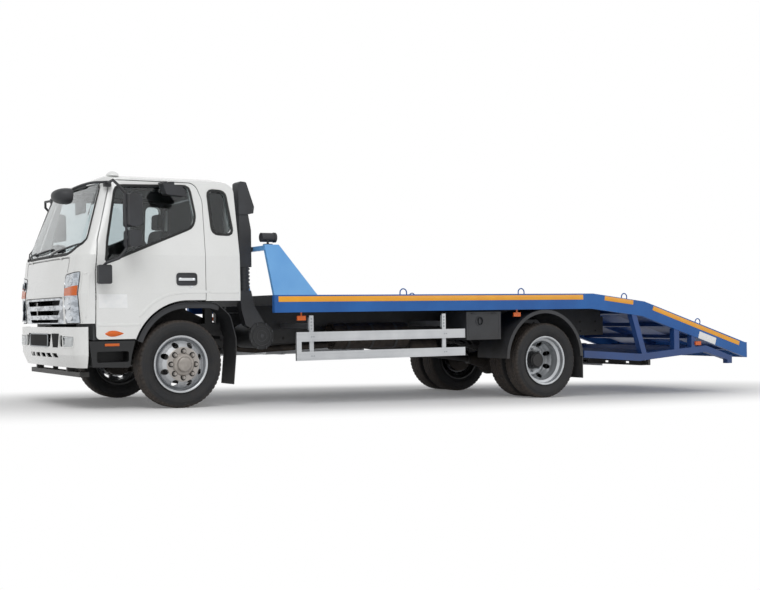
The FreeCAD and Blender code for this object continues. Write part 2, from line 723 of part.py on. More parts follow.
def wrapped_body(sections, corner, bow, rear_x, inset=0.0):
    """Solid with straight leaning sides, a bowed front and round upright corners.

    sections holds level stations (height, nose x, half width), lowest first.
    """
    outlines = [level_outline(nose - inset, half - inset, corner - inset, bow, rear_x + inset, z)
                for z, nose, half in sections]
    faces = [Part.Face(Part.Wire([outline_edge(p) for p in outlines[i]])) for i in (0, -1)]
    for low, high in zip(outlines[:-1], outlines[1:]):
        for p, q in zip(low, high):
            if len(p) == 2:
                faces.append(Part.Face(Part.makePolygon([p[0], p[1], q[1], q[0], p[0]])))
            else:
                faces.append(Part.makeRuledSurface(outline_edge(p), outline_edge(q)))
    shell = Part.makeShell(faces)
    shell.sewShape()
    solid = Part.makeSolid(shell)
    return solid if solid.Volume > 0 else Part.makeSolid(shell.reversed())


# level stations of the cab: (height, nose x, half width)
cab_sections = (
    (690.0, 1128.0, 1108.0),
    (1200.0, 1150.0, 1130.0),
    (belt_z, 1102.0, 1122.0),
    (2600.0, 723.0, 914.0),
)


def cab_body(inset, floor_lift=0.0, toe_wall=0.0):
    """Solid cab envelope moved inwards by inset, its underside raised by floor_lift."""
    body = wrapped_body(cab_sections, cab_corner, cab_bow, cab_rear_x, inset)
    top = 2472.0 - inset
    shoulder = 2405.0 - inset
    crown = [(-1300, 600), (1300, 600), (1300, shoulder - 70), (960 - inset, shoulder - 25, 60),
             (700, shoulder + 38, 500), (0, top, 2500), (-700, shoulder + 38, 500),
             (-960 + inset, shoulder - 25, 60), (-1300, shoulder - 70)]
    body = body.common(front_prism(crown, (-900, 1300)))
    arch = arch_radius + floor_lift
    side = [(cab_rear_x + inset, arch_z + arch), arch_corner(arch) + (arch - 1,), arch_foot(arch),
            (arch_foot(arch)[0], cab_low_z + floor_lift), (door_front_x - toe_wall, cab_low_z + floor_lift),
            (door_front_x - toe_wall, cab_foot_z + floor_lift), (1300, cab_foot_z + floor_lift), (1300, 2200),
            (900, 2330 - inset), (560, 2478 - inset, 300), (-420, 2478 - inset, 170),
            (cab_rear_x + inset, 2330 - inset, 90)]
    return body.common(side_prism(side, (-1300, 1300)))


def door_outline(gap, front_gap, toe_radius=0):
    """Door edge in X and Z, shrunk by gap all round and by front_gap along its front."""
    g = gap
    arch = arch_radius + g
    foot_x, foot_z = arch_foot(arch)
    return [(door_front_x - front_gap, cab_low_z + g, toe_radius), (door_front_x - front_gap, 1420),
            (884 - front_gap, 1740), (728 - front_gap, 2260, 60), (700 - front_gap, 2371 - g, 50),
            (-232 + g, 2371 - g, 110), (-300 + g, 2180, 200), (-280 + g, 1540), (-280 + g, arch_z + arch, 10),
            arch_corner(arch) + (arch - 1,), (foot_x, foot_z), (foot_x, cab_low_z + g)]


door_window = [(800, 1510, 26), (768, 1740), (640, 2300, 50), (-150, 2325, 60), (-190, 2000, 120), (-150, 1890, 70)]
quarter_window = [(-372, 2285, 60), (-560, 2275, 60), (-608, 1830, 70), (-385, 1838, 60)]
windscreen_window = [(-760, 1612, 160), (-1010, 1720, 60), (-850, 2340, 60), (850, 2340, 60), (1010, 1720, 60),
                     (760, 1612, 160)]


def grown(corners, by):
    """Outline moved outwards by a few millimetres about its middle."""
    cu = sum(c[0] for c in corners) / len(corners)
    cv = sum(c[1] for c in corners) / len(corners)
    us = max(c[0] for c in corners) - min(c[0] for c in corners)
    vs = max(c[1] for c in corners) - min(c[1] for c in corners)
    return [(cu + (c[0] - cu) * (1 + 2 * by / us), cv + (c[1] - cv) * (1 + 2 * by / vs)) + tuple(c[2:])
            for c in corners]


def hinge_parts():
    """Cab side of the left door's hinges: swan necks that reach round the door's front edge."""
    pieces = []
    for z in hinge_zs:
        top = z + hinge_height
        pieces.append(rod(V(hinge_x, hinge_y, z), V(hinge_x, hinge_y, top), 11))
        pieces.append(rod(V(hinge_x, hinge_y, z - 20), V(hinge_x, hinge_y, top + 20), hinge_pin_radius))
        pieces.append(box((hinge_x - 8, hinge_x + 8), (hinge_y - 52, hinge_y), (z, top)))
        pieces.append(box((hinge_x - 8, door_front_x + 40), (hinge_y - 52, hinge_y - 40), (z, top)))
        pieces.append(box((door_front_x + 16, door_front_x + 40), (hinge_y - 52, hinge_y - 10), (z, top)))
    return pieces


def hinge_room():
    """Cuts behind the left door's outer skin for the swan necks, and the pins' bores."""
    pieces = []
    for z in hinge_zs:
        top = z + hinge_height
        pieces.append(box((hinge_x - 14, door_front_x + 60), (900, hinge_y + 13), (z - 5, top + 5)))
        pieces.append(rod(V(hinge_x, hinge_y, z - 26), V(hinge_x, hinge_y, top + 26),
                          hinge_pin_radius + running_gap))
    return pieces


def lid_hinges():
    """Two butt hinges along the lid's top edge: ears with the pin above, bored barrels on the lid."""
    ears = []
    barrels = []
    x, z = lid_hinge_x, lid_hinge_z
    for y in (-lid_hinge_y, lid_hinge_y):
        for low in (y - 30, y + 15):
            ears.append(rod(V(x, low, z), V(x, low + 15, z), 8))
            ears.append(box((x - 30, x), (low, low + 15), (z, z + 8)))
        ears.append(rod(V(x, y - 30, z), V(x, y + 30, z), 4))
        barrel = rod(V(x, y - 14.5, z), V(x, y + 14.5, z), 8)
        barrel = barrel.fuse(box((x - 26, x), (y - 14.5, y + 14.5), (z - 22, z - 3)))
        barrels.append(barrel.cut(rod(V(x, y - 20, z), V(x, y + 20, z), 4 + running_gap)))
    return ears, barrels


def build_cab():
    """All panels of the cab, cut out of one hollow body where the real panels meet."""
    big = 3000
    outer = cab_body(0)
    inner = cab_body(cab_wall, floor_wall, cab_wall)
    for x, z in ((tunnel_front_x, tunnel_top_z), (frame_front_x + 20, cab_foot_z + floor_wall)):
        half = tunnel_half + floor_wall
        inner = inner.cut(box((-big, x + floor_wall), (-half, half), (0, z)))
        outer = outer.cut(box((-big, x), (-tunnel_half, tunnel_half), (0, z - floor_wall)))
    shell = outer.cut(inner)

    leaf = outer.cut(cab_body(door_wall))
    door = leaf.common(side_prism(door_outline(shut_gap, hinge_gap, 40), (700, 1400)))
    door = door.cut(side_prism(door_window, (700, 1400)))
    for room in hinge_room():
        door = door.cut(room)
    door = door.cut(box((hinge_x - 2, door_front_x + 10), (700, hinge_y - 29), (700, 1800)))
    door = door.cut(box((-260, -120), (700, 872), (2290, 2420)))
    pane_skin = cab_body(glass_inset).cut(cab_body(glass_inset + glass_wall))
    door_pane = pane_skin.common(side_prism(grown(door_window, -0.3), (700, 1400)))

    doorway = side_prism(door_outline(0, 0), (700, 1400)).cut(cab_body(door_wall + 5))
    shell = shell.cut(doorway).cut(mirrored(doorway))
    quarter = side_prism(quarter_window, (-1400, 1400))
    screen = front_prism(windscreen_window, (560, 1400))
    glass = Part.makeCompound([
        pane_skin.common(front_prism(grown(windscreen_window, -0.3), (560, 1400))),
        pane_skin.common(side_prism(grown(quarter_window, -0.3), (700, 1400))),
        pane_skin.common(side_prism(grown(quarter_window, -0.3), (-1400, -700))),
    ])
    shell = shell.cut(quarter).cut(screen)

    roof = shell.common(box((-big, big), (-big, big), (roof_split_z, big)))
    below = shell.common(box((-big, big), (-big, big), (-big, roof_split_z)))
    rear_slab = box((-big, cab_rear_x + cab_wall), (-big, big), (-big, big))
    rear = below.common(rear_slab)
    below = below.cut(rear_slab)
    front_block = box((door_front_x, big), (-big, big), (-big, belt_z))
    front = below.common(front_block)
    below = below.cut(front_block)
    half = cab_sections[1][2] - door_wall - 6
    floor_block = box((-big, big), (-half, half), (-big, tunnel_top_z + 1))
    floor = below.common(floor_block)
    sides = below.cut(floor_block)

    lid_skin = outer.cut(cab_body(lid_wall))
    lid = lid_skin.common(front_prism([(-lid_half + 50, lid_foot_z + 4, 20), (lid_half - 50, lid_foot_z + 4, 20),
                                       (lid_half, lid_top_z, 20), (-lid_half, lid_top_z, 20)], (door_front_x, big)))
    lid_room = outer.cut(cab_body(lid_wall + 6))
    lid_room = lid_room.common(front_prism([(-lid_half + 44, lid_foot_z, 22), (lid_half - 44, lid_foot_z, 22),
                                            (lid_half + 6, lid_top_z + 6, 22), (-lid_half - 6, lid_top_z + 6, 22)],
                                           (door_front_x, big)))
    grille_box = box((door_front_x, big), (-700, 700), (cab_foot_z - 1, lid_foot_z))
    grille = front.common(grille_box)
    for half, low, high in ((625, 1085, 1140), (585, 985, 1035), (545, 905, 940)):
        grille = grille.cut(front_prism([(-half, high, 8), (-half + 45, low, 8), (half - 45, low, 8),
                                         (half, high, 8)], (door_front_x, big)))
    lamp_tool = front_prism([(752, 905, 12), (768, 1350, 12), (960, 1390, 12), (960, 905, 12)],
                            (door_front_x, big))
    lamp_tool = lamp_tool.fuse(mirrored(lamp_tool))
    lamps = front.common(lamp_tool)
    front = front.cut(grille_box).cut(lamp_tool).cut(lid_room)
    lid = lid.cut(lamp_tool)
    ears, barrels = lid_hinges()
    lid = lid.fuse(barrels)
    front = front.fuse(hinge_parts() + [mirrored(p) for p in hinge_parts()] + ears)
    arms = []
    for side in (-1, 1):
        y = sorted((side * (pivot_arm_y - 8), side * (pivot_arm_y + 8)))
        arm = side_prism([(700, cab_low_z), (door_front_x, cab_low_z), (pivot_x - 40, pivot_z - 40, 30),
                          (pivot_x + 40, pivot_z - 40, 36), (pivot_x + 40, pivot_z + 40, 36),
                          (door_front_x, cab_low_z + 50), (700, cab_low_z + floor_wall)], y)
        arms.append(arm.cut(rod(V(pivot_x, -900, pivot_z), V(pivot_x, 900, pivot_z), pivot_radius + running_gap)))
        arms.append(box((700, door_front_x), sorted((side * (pivot_arm_y - 8), side * (tunnel_half + 10))),
                        (cab_low_z, cab_low_z + floor_wall)))
    floor = floor.fuse(arms)
    return {
        "cab_floor": floor, "cab_sides": sides, "cab_rear_wall": rear, "cab_roof": roof, "cab_front": front,
        "front_lid": lid, "grille": grille, "headlamps": lamps, "cab_glass": glass, "door_left": door,
        "door_right": mirrored(door), "door_glass_left": door_pane, "door_glass_right": mirrored(door_pane),
    }


def seats():
    """Driver's and mate's seats: cushion, back and head restraint on a base."""
    base = box((-300, 180), (380, 880), (arch_floor_z, arch_floor_z + 140))
    base = base.cut(box((-1000, 1000), (0, tunnel_half + floor_wall), (0, tunnel_top_z)))
    seat_z = arch_floor_z + 122
    cushion = side_prism([(-330, seat_z), (220, seat_z), (250, seat_z + 70, 40), (200, seat_z + 130, 40),
                          (-330, seat_z + 100, 30)], (370, 890))
    back = side_prism([(-330, seat_z), (-220, seat_z + 40), (-330, seat_z + 700, 40), (-440, seat_z + 700, 40),
                       (-450, seat_z + 40, 40)], (385, 875))
    rest = side_prism([(-350, seat_z + 690), (-360, seat_z + 890, 40), (-450, seat_z + 890, 40),
                       (-440, seat_z + 690)], (510, 750))
    return both_sides(fused([base, cushion, back, rest]))


wheel_tilt_deg = 62.0
wheel_centre = V(405, -560, 1568)


def wheel_axis():
    angle = math.radians(wheel_tilt_deg)
    return V(-math.sin(angle), 0, math.cos(angle))


def dashboard():
    """Full-width shelf under the windscreen, with the column on the right."""
    shelf = side_prism([(690, 1260, 30), (640, 1440, 40), (760, 1560, 40), (1050, 1560), (1090, 1260)],
                       (-1000, 1000))
    shelf = shelf.common(cab_body(cab_wall + running_gap))
    tip = wheel_centre - wheel_axis() * (18 + running_gap)
    column = rod(tip - wheel_axis() * 360, tip, 42)
    return fused([shelf, column])


def steering_wheel():
    """Four-spoke wheel, tilted on the column."""
    rim_ring = Part.makeTorus(215, 15, V(0, 0, 0), TO_Z)
    spokes = [rod(V(60 * math.cos(a), 60 * math.sin(a), 0), V(210 * math.cos(a), 210 * math.sin(a), 0), 11)
              for a in (0.5, math.pi - 0.5, math.pi + 0.6, -0.6)]
    wheel = fused([rim_ring, Part.makeCylinder(68, 36, V(0, 0, -18), TO_Z)] + spokes)
    wheel.rotate(V(0, 0, 0), TO_Y, -wheel_tilt_deg)
    wheel.translate(wheel_centre)
    return wheel


def tube_run(points, radius):
    """Bent tube through a few corners, with a ball at each bend."""
    pieces = [rod(a, b, radius) for a, b in zip(points[:-1], points[1:])]
    pieces += [Part.makeSphere(radius, p) for p in points[1:-1]]
    return fused(pieces)


def mirror():
    """Left door mirrors: bent arm, main and wide-angle heads, and the kerb mirror over the door."""
    y = 1330.0
    arm = tube_run([V(735, 985, 2325), V(760, 1240, 2330), V(735, y, 2270), V(660, y, 2190), V(655, y, 1640),
                    V(740, y, 1540), V(850, 1290, 1500), V(868, 1230, 1470)], 14)
    base = side_prism([(930, 1480, 20), (930, 1290, 20), (790, 1290, 20), (790, 1480, 20)], (1215, 1272))
    neck = box((800, 866), (1100, 1230), (1310, 1460))
    foot = box((700, 770), (960, 1010), (2290, 2345))
    main = side_prism([(655, 2195, 30), (655, 1855, 30), (520, 1870, 40), (520, 2180, 50)], (y - 110, y + 100))
    wide = side_prism([(650, 1830, 25), (650, 1650, 25), (530, 1665, 35), (530, 1815, 35)], (y - 110, y + 100))
    grips = [rod(V(645, y, z), V(645, y, z + 40), 34) for z in (2050, 1730)]
    return fused([arm, base, neck, foot, main, wide] + grips).cut(cab_body(-running_gap))


def kerb_mirror():
    head = side_prism([(225, 2335, 10), (10, 2300, 10), (-50, 2195, 20), (185, 2212, 20)], (1090, 1215))
    clip = [(930, 2354), (930, 2332), (1040, 2332), (1092, 2290), (1120, 2290), (1120, 2354)]
    clips = [front_prism(clip, (x, x + 40)) for x in (60, 140)]
    return fused([head] + clips).cut(cab_body(-running_gap))


def front_mirror():
    """Blind-spot mirror on its arm ahead of the windscreen's left corner."""
    arm = tube_run([V(700, 930, 2345), V(900, 900, 2320), V(1150, 830, 2200)], 13)
    head = Part.makeSphere(140, V(1165, 800, 2140))
    head = head.common(box((1130, 1290), (665, 935), (2060, 2225)))
    return fused([arm, head]).cut(cab_body(-running_gap))


# ---------------------------------------------------------------- front end
bumper_sections = (
    (bumper_foot_z, 1098.0, bumper_half - 14),
    (bumper_foot_z + 130, 1150.0, bumper_half),
    (bumper_top_z, 1154.0, bumper_half),
)


def bumper_body(inset):
    """Solid bumper envelope moved inwards by inset; an inner one is carried past both ends."""
    low, mid, top = bumper_sections
    if inset > 0:
        top = (top[0] + 60,) + top[1:]
    return wrapped_body((low, mid, top), bumper_corner, cab_bow, bumper_rear_x - 300, inset)


def front_bumper():
    """Wrapped bumper shell with plate recess, air slots and lamp openings."""
    big = 2000
    shell = bumper_body(0).common(box((bumper_rear_x, big), (-big, big), (0, big)))
    inside = bumper_body(bumper_wall).common(box((0, big), (-big, big), (bumper_foot_z + bumper_wall, big)))
    shell = shell.cut(inside)
    openings = [[(-330, 790, 10), (-270, 660, 10), (270, 660, 10), (330, 790, 10)],
                [(-90, 590, 6), (-75, 545, 6), (75, 545, 6), (90, 590, 6)]]
    sided = [[(600, 780, 20), (580, 665, 30), (760, 655, 30), (800, 770, 30)]]
    sided += [[(y, 590, 6), (y + 30, 545, 6), (y + 190, 545, 6), (y + 170, 590, 6)] for y in (112, 330)]
    for outline in openings:
        shell = shell.cut(front_prism(outline, (900, big)))
    for outline in sided:
        tool = front_prism(outline, (900, big))
        shell = shell.cut(tool).cut(mirrored(tool))
    return shell


def front_beam():
    """Cross beam under the bumper, on brackets to the rails, and the bumper's stays."""
    beam = box((930, 1030), (-925, 925), (352, 402))
    pieces = [beam]
    half = frame_width / 2
    for side in (-1, 1):
        pieces.append(box((882, 930), sorted((side * (half - rail_flange), side * (half - 30))), (352, rail_low)))
        pieces.append(box((985, 1060), sorted((side * 600, side * 560)), (400, bumper_foot_z)))
        stay = box((frame_front_x, 1300), sorted((side * (half - 26), side * (half - rail_flange))), (640, 680))
        pieces.append(stay.common(bumper_body(bumper_wall + running_gap)))
        pieces.append(box((frame_front_x, frame_front_x + 12), sorted((side * (half - 21), side * (half - rail_flange))),
                          (rail_low, rail_top)))
    return Part.makeCompound(join_touching(pieces))


def join_touching(pieces):
    """Fused pieces as separate solids where they don't meet."""
    return fused(pieces).Solids


def step_boxes():
    """Step wells behind the bumper's ends, under the doors."""
    outline = [(984, 716, 6), (500, 716, 6), (540, 560, 20), (560, 440, 30), (950, 455, 20)]
    block = side_prism(outline, (800, 1106))
    well = side_prism([(905, 610, 20), (570, 610, 20), (570, 500, 20), (905, 500, 20)], (930, 1200))
    stay = box((560, 640), (frame_width / 2, 801), (640, 700))
    return both_sides(fused([block.cut(well), stay]))


# ---------------------------------------------------------------- platform
def bed_frame():
    """Two long bearers on the chassis rails with the deck's cross beams on top."""
    bearer = bed_band(deck_recess + deck_plate + cross_beam_depth, bed_rail_depth + 130,
                      (bearer_y - bearer_width / 2, bearer_y + bearer_width / 2))
    bearer = bearer.common(box((frame_rear_x + 40, bed_front_x - 6), (0, 600), (rail_top, 1300)))
    pieces = [bearer, mirrored(bearer)]
    half = bed_width / 2 - bed_rail_width
    web = bed_width / 2 - bed_rail_wall
    top = deck_recess + deck_plate
    x = bed_front_x - 700
    while x > tail_break_x + 60:
        pieces.append(bed_band(top, top + cross_beam_depth, (-web, web), x + 30, x - 30))
        x -= cross_beam_pitch
    front = box((bed_front_x - 70, bed_front_x), (-half, half), (bed_top_z - 110, bed_top_z))
    pieces.append(front)
    winch_beam = box((bed_front_x - 560, bed_front_x - 500), (-half, half),
                     (bed_top_z - top - cross_beam_depth - 40, bed_top_z - top))
    pieces.append(winch_beam)
    return fused(pieces)


def deck():
    """Chequer plate over the whole platform, with the winch well cut at its front."""
    half = bed_width / 2 - bed_rail_width - 1
    plate = bed_band(deck_recess, deck_recess + deck_plate, (-half, half), bed_front_x - 72, bed_rear_x + 8)
    return plate.cut(box((bed_front_x - 480, bed_front_x - 150), (-300, 300), (1000, 1300)))


def bed_rails():
    """Channel side rails, open inwards, and the pierced end beam that the ramps leave through."""
    half = bed_width / 2
    rail = bed_band(0, bed_rail_depth, (half - bed_rail_width, half))
    pocket = bed_band(deck_recess + deck_plate, bed_rail_depth - bed_rail_wall,
                      (half - bed_rail_width - 1, half - bed_rail_wall), bed_front_x - 40, bed_rear_x + 30)
    rail = rail.cut(pocket)
    x_end, z_end = bed_line(0)[-1]
    end = box((bed_rear_x - 12, bed_rear_x), (-half, half), (z_end - 200, z_end + 6))
    window = ramp_tool(ramp_clearance)
    end = end.cut(window).cut(mirrored(window))
    return fused([rail, mirrored(rail), end])


ramp_depth = deck_recess + deck_plate + ramp_clearance


def ramp_band(low, high, depth, y):
    """Block along the tail between two distances from its steep break."""
    corners = [tail_place(low, depth[0]), tail_place(high, depth[0]), tail_place(high, depth[1]),
               tail_place(low, depth[1])]
    return side_prism(corners, y)


def ramp_start():
    slope = math.radians(tail_deg)
    return (tail_break_x - bed_rear_x) / math.cos(slope) - ramp_length


def ramp_tool(grow):
    return ramp_band(ramp_start() - grow, ramp_start() + ramp_length + 200,
                     (ramp_depth - grow, ramp_depth + ramp_height + grow),
                     (ramp_y - ramp_width / 2 - grow, ramp_y + ramp_width / 2 + grow))


def ramp():
    """Left loading ramp: two edge channels joined by rungs."""
    start = ramp_start()
    y = (ramp_y - ramp_width / 2, ramp_y + ramp_width / 2)
    depth = (ramp_depth, ramp_depth + ramp_height)
    pieces = [ramp_band(start, start + ramp_length, depth, (y[0], y[0] + 45)),
              ramp_band(start, start + ramp_length, depth, (y[1] - 45, y[1]))]
    step = ramp_length / 12
    for i in range(13):
        low = start + i * (ramp_length - 40) / 12
        pieces.append(ramp_band(low, low + 40, (depth[0], depth[1] - 12), (y[0] + 40, y[1] - 40)))
    return fused(pieces)


tail_low = ((-6220.0, 302.0), (-7390.0, 386.0))


def tail_low_z(x):
    """Underside of the tail frame's low rail between its two bends."""
    (x1, z1), (x2, z2) = tail_low
    return z1 + (z2 - z1) * (x1 - x) / (x1 - x2)


def tail_frame():
    """Welded tube frame that carries the tail: long low rails, posts, ramp shelves and cross tubes."""
    y = (tail_tube_y - 40, tail_tube_y + 40)
    t = tail_tube
    lower = side_prism([(-5300, 373), tail_low[0], tail_low[1], (-7830, 262), (-7830, 335), (-7400, 472),
                        (-6230, 393), (-5300, 460)], y)
    foot = box((-7880, -7795), y, (222, 330))
    under = bed_line(bed_rail_depth)
    posts = []
    for top_x, foot_x, foot_z, width in ((-6135, -6305, 380, 84), (-6870, -6870, 420, 90), (-7170, -7170, 440, 70)):
        top = under_z(top_x)
        posts.append(side_prism([(top_x + width / 2, under_z(top_x + width / 2)),
                                 (top_x - width / 2, under_z(top_x - width / 2)),
                                 (foot_x - width / 2, foot_z), (foot_x + width / 2, foot_z)], y))
    side = fused([lower, foot] + posts)
    cross = [box((x - 40, x + 40), (-y[0], y[0]), (z, z + 70)) for x, z in ((-6200, 312), (-6790, 353), (-7330, 392))]
    rail_y = frame_width / 2
    drops = [box((-5420, -5340), sorted((s * rail_y, s * (rail_y + 12))), (385, 700)) for s in (-1, 1)]
    front_tube = box((-5420, -5340), (-y[0], y[0]), (380, 440))
    return fused([side, mirrored(side), front_tube] + cross + drops)


def ramp_pockets():
    """Shelves, guides and cross beams under the tail deck that hold the ramps."""
    shelf_depth = ramp_depth + ramp_height + running_gap
    start = ramp_start() - 60
    end = (tail_break_x - bed_rear_x) / math.cos(math.radians(tail_deg)) - 10
    shelf = ramp_band(start, end, (shelf_depth, shelf_depth + pocket_wall),
                      (ramp_y - ramp_width / 2 - ramp_clearance - pocket_wall,
                       ramp_y + ramp_width / 2 + ramp_clearance + pocket_wall))
    pieces = [shelf, mirrored(shelf)]
    web = bed_width / 2 - bed_rail_wall
    for low in (60, 650, 1240, 1780):
        pieces.append(ramp_band(low, low + 50, (shelf_depth + pocket_wall, shelf_depth + pocket_wall + 50),
                                (-web, web)))
    for y0 in (-ramp_y - ramp_width / 2 - ramp_clearance - 50, -ramp_y + ramp_width / 2 + ramp_clearance,
               ramp_y - ramp_width / 2 - ramp_clearance - 50, ramp_y + ramp_width / 2 + ramp_clearance):
        pieces.append(ramp_band(40, end, (deck_recess + deck_plate, shelf_depth + pocket_wall), (y0, y0 + 50)))
    return fused(pieces)


def under_z(x):
    """Height of the side rail's underside at x on the level break or the tail."""
    line = bed_line(bed_rail_depth)
    for (x1, z1), (x2, z2) in zip(line[:-1], line[1:]):
        if x2 <= x <= x1:
            return z1 + (z2 - z1) * (x1 - x) / (x1 - x2)
    return line[-1][1]


def headboard():
    """Open headboard: two leaning wings, a top tube and two posts."""
    y = bed_width / 2
    wing = side_prism([(wing_top_x[0], wing_top_z, 6), (wing_top_x[1], wing_top_z, 20),
                       (wing_foot_x, bed_top_z), (bed_front_x, bed_top_z)], (y - wing_wall, y))
    lip = side_prism([(wing_top_x[0], wing_top_z), (wing_top_x[0] - 30, wing_top_z),
                      (bed_front_x - 30, bed_top_z), (bed_front_x, bed_top_z)], (y - 45, y))
    tube_x = wing_top_x[0] - head_tube + 20
    tube = box((tube_x - 25, tube_x + 25), (-y + 5, y - 5), (wing_top_z - 60, wing_top_z - 10))
    posts = [side_prism([(tube_x - 22, wing_top_z - 30), (tube_x + 22, wing_top_z - 30),
                         (bed_front_x - 8, bed_top_z), (bed_front_x - 52, bed_top_z)],
                        sorted((s * head_post_y, s * (head_post_y - 44)))) for s in (-1, 1)]
    return fused([wing, lip, mirrored(wing), mirrored(lip), tube] + posts)


def work_lamps():
    """Round work lamp on a stalk above each wing."""
    stalk = rod(V(-960, 1215, wing_top_z + 4), V(-985, 1160, 1770), 13)
    can = rod(V(-909, 1150, 1793), V(-1067, 1150, 1793), 50)
    foot = box((-1000, -915), (bed_width / 2 - 55, bed_width / 2), (wing_top_z, wing_top_z + 8))
    return both_sides(fused([stalk, can, foot]))


def winch():
    """Recessed winch: motor, drum between two cheeks, gear case and base plate."""
    x = bed_front_x - 310
    z = bed_top_z - 85
    drum = rod(V(x, -140, z), V(x, 140, z), 46)
    cheeks = [rod(V(x, y, z), V(x, y + 12, z), 78) for y in (-150, 138)]
    motor = rod(V(x, 150, z), V(x, 285, z), 62)
    gear = rod(V(x, -260, z), V(x, -150, z), 72)
    base = box((x - 80, x + 80), (-290, 290), (z - 92, z - 76))
    lugs = [box((x - 60, x + 60), (y, y + 14), (z - 80, z)) for y in (-262, 250)]
    arms = [box((bed_front_x - 510, bed_front_x - 68), (y, y + 40), (z - 104, z - 92)) for y in (-260, 220)]
    risers = [box((bed_front_x - 82, bed_front_x - 70), (y, y + 40), (z - 104, z - 20)) for y in (-260, 220)]
    return fused([drum, motor, gear, base] + cheeks + lugs + arms + risers)


def tie_downs():
    """Round-bar loops welded along both side rails; (distance along, on the tail)."""
    loops = []
    y = bed_width / 2 - 28
    for x in tie_xs:
        line = bed_line(0)
        z = next(z1 + (z2 - z1) * (x1 - x) / (x1 - x2) for (x1, z1), (x2, z2) in zip(line[:-1], line[1:])
                 if x2 <= x <= x1)
        slope = 0 if x > break_x else (break_deg if x > tail_break_x else tail_deg)
        ring_shape = Part.makeTorus(44, 7, V(0, 0, 0), TO_Y)
        ring_shape = ring_shape.common(box((-80, 80), (-80, 80), (0, 80)))
        legs = [rod(V(s * 44, 0, 0), V(s * 44, 0, -20), 7) for s in (-1, 1)]
        loop = fused([ring_shape] + legs)
        loop.translate(V(0, 0, 20))
        loop.rotate(V(0, 0, 0), TO_Y, -slope)
        loop.translate(V(x, y, z))
        loops += [loop, mirrored(loop)]
    return Part.makeCompound(loops)


def underrun_beam():
    """Black cross beam under the tail frame's low rails."""
    beam = box((-6460, -6380), (-1100, 1100), (235, 300))
    for y in (-800, -400, 0, 400, 800):
        beam = beam.cut(box((-6500, -6340), (y - 70, y + 70), (255, 282)))
    pieces = [beam]
    for s in (-1, 1):
        pieces.append(side_prism([(-6440, 240), (-6400, 240), (-6400, tail_low_z(-6400)),
                                  (-6440, tail_low_z(-6440))], sorted((s * (tail_tube_y - 40), s * tail_tube_y))))
        pieces.append(box((-6440, -6400), sorted((s * 1080, s * 1170)), (240, 295)))
    return fused(pieces)


def marker_lamps():
    """Amber side lamps under the platform and on the tail frame, red lamps on the tail's end."""
    y = bed_width / 2
    lamps = []
    for x, z in ((-1357, 918), (-4290, 922)):
        lens = box((x - 52, x + 52), (y - 54, y - 38), (z - 25, z + 25))
        lamps.append(lens.fuse(box((x - 8, x + 8), (y - 54, y - 44), (z, bed_top_z - bed_rail_depth))))
    lamps.append(box((-7290, -7190), (tail_tube_y + 40, tail_tube_y + 58), (480, 530)))
    return both_sides(Part.makeCompound(lamps))


# ---------------------------------------------------------------- nodes
def to_rear(shape):
    moved = shape.copy()
    moved.translate(V(-wheelbase, 0, 0))
    return moved


def build():
    sprung = {
        "frame_rails": frame_rails(), "engine_block": engine_block(), "leaf_springs": leaf_springs(),
        "front_axle": front_axle(), "knuckle_left": knuckle(),
        "knuckle_right": mirrored(knuckle()), "rear_axle": rear_axle(), "propeller_shaft": propeller_shaft(),
        "fuel_tank": fuel_tank(), "silencer": silencer(), "air_filter": air_filter(), "intake_snorkel": snorkel(),
        "side_guards": side_guards(), "toolbox": toolbox(), "front_mudguards": front_mudguards(),
        "rear_mudguards": rear_mudguards(), "front_bumper": front_bumper(), "front_beam": front_beam(),
        "step_boxes": step_boxes(), "bed_frame": bed_frame(), "bed_deck": deck(), "bed_rails": bed_rails(),
        "headboard": headboard(), "work_lamps": work_lamps(), "winch": winch(), "tail_frame": tail_frame(), "ramp_pockets": ramp_pockets(),
        "underrun_beam": underrun_beam(), "tie_downs": tie_downs(), "marker_lamps": marker_lamps(),
        "seats": seats(), "dashboard": dashboard(), "steering_wheel": steering_wheel(),
        "front_mirror": front_mirror(), "mirror_left": Part.makeCompound([mirror(), kerb_mirror()]),
        "mirror_right": mirrored(mirror()),
        "ramp_left": ramp(), "ramp_right": mirrored(ramp()),
    }
    sprung.update(build_cab())
    nodes = {name: tipped(shape) for name, shape in sprung.items()}
    front, rear = front_wheel(), to_rear(rear_wheel())
    nodes["front_wheel_left"] = front
    nodes["front_wheel_right"] = mirrored(front)
    nodes["rear_wheel_left"] = rear
    nodes["rear_wheel_right"] = mirrored(rear)
    front_tyre = tyre(front_wheel_y)
    twins = to_rear(Part.makeCompound([tyre(rear_outer_y), tyre(rear_outer_y - twin_spacing)]))
    nodes["front_tyre_left"] = front_tyre
    nodes["front_tyre_right"] = mirrored(front_tyre)
    nodes["rear_tyres_left"] = twins
    nodes["rear_tyres_right"] = mirrored(twins)
    return nodes


def length_middle(nodes):
    boxes = [shape.BoundBox for shape in nodes.values()]
    return (max(b.XMax for b in boxes) + min(b.XMin for b in boxes)) / 2


def main():
    os.makedirs("parts", exist_ok=True)
    nodes = build()
    middle = length_middle(nodes)
    print("middle", middle)
    for name, shape in nodes.items():
        moved = shape.copy()
        moved.translate(V(-middle, 0, 0))
        moved.exportStep("parts/%s.step" % name)
        print(name, len(moved.Solids), "valid" if moved.isValid() else "NOT VALID", round(moved.Volume / 1e9, 5))


main()
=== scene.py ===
# %% [markdown]
# # A flatbed tow truck, dressed for the studio
# The truck's solids were drawn in CAD and packed as a fixed frame. This lesson gives them what CAD leaves
# out: rubber with tread, paint with dust in it, lamps, seals, wipers, tape and bolts. Nothing from the
# frame is moved. A new piece either lies on a solid or stands in its place, and every piece names the
# body that it travels with, so that doors, cab and wheels can still be turned.

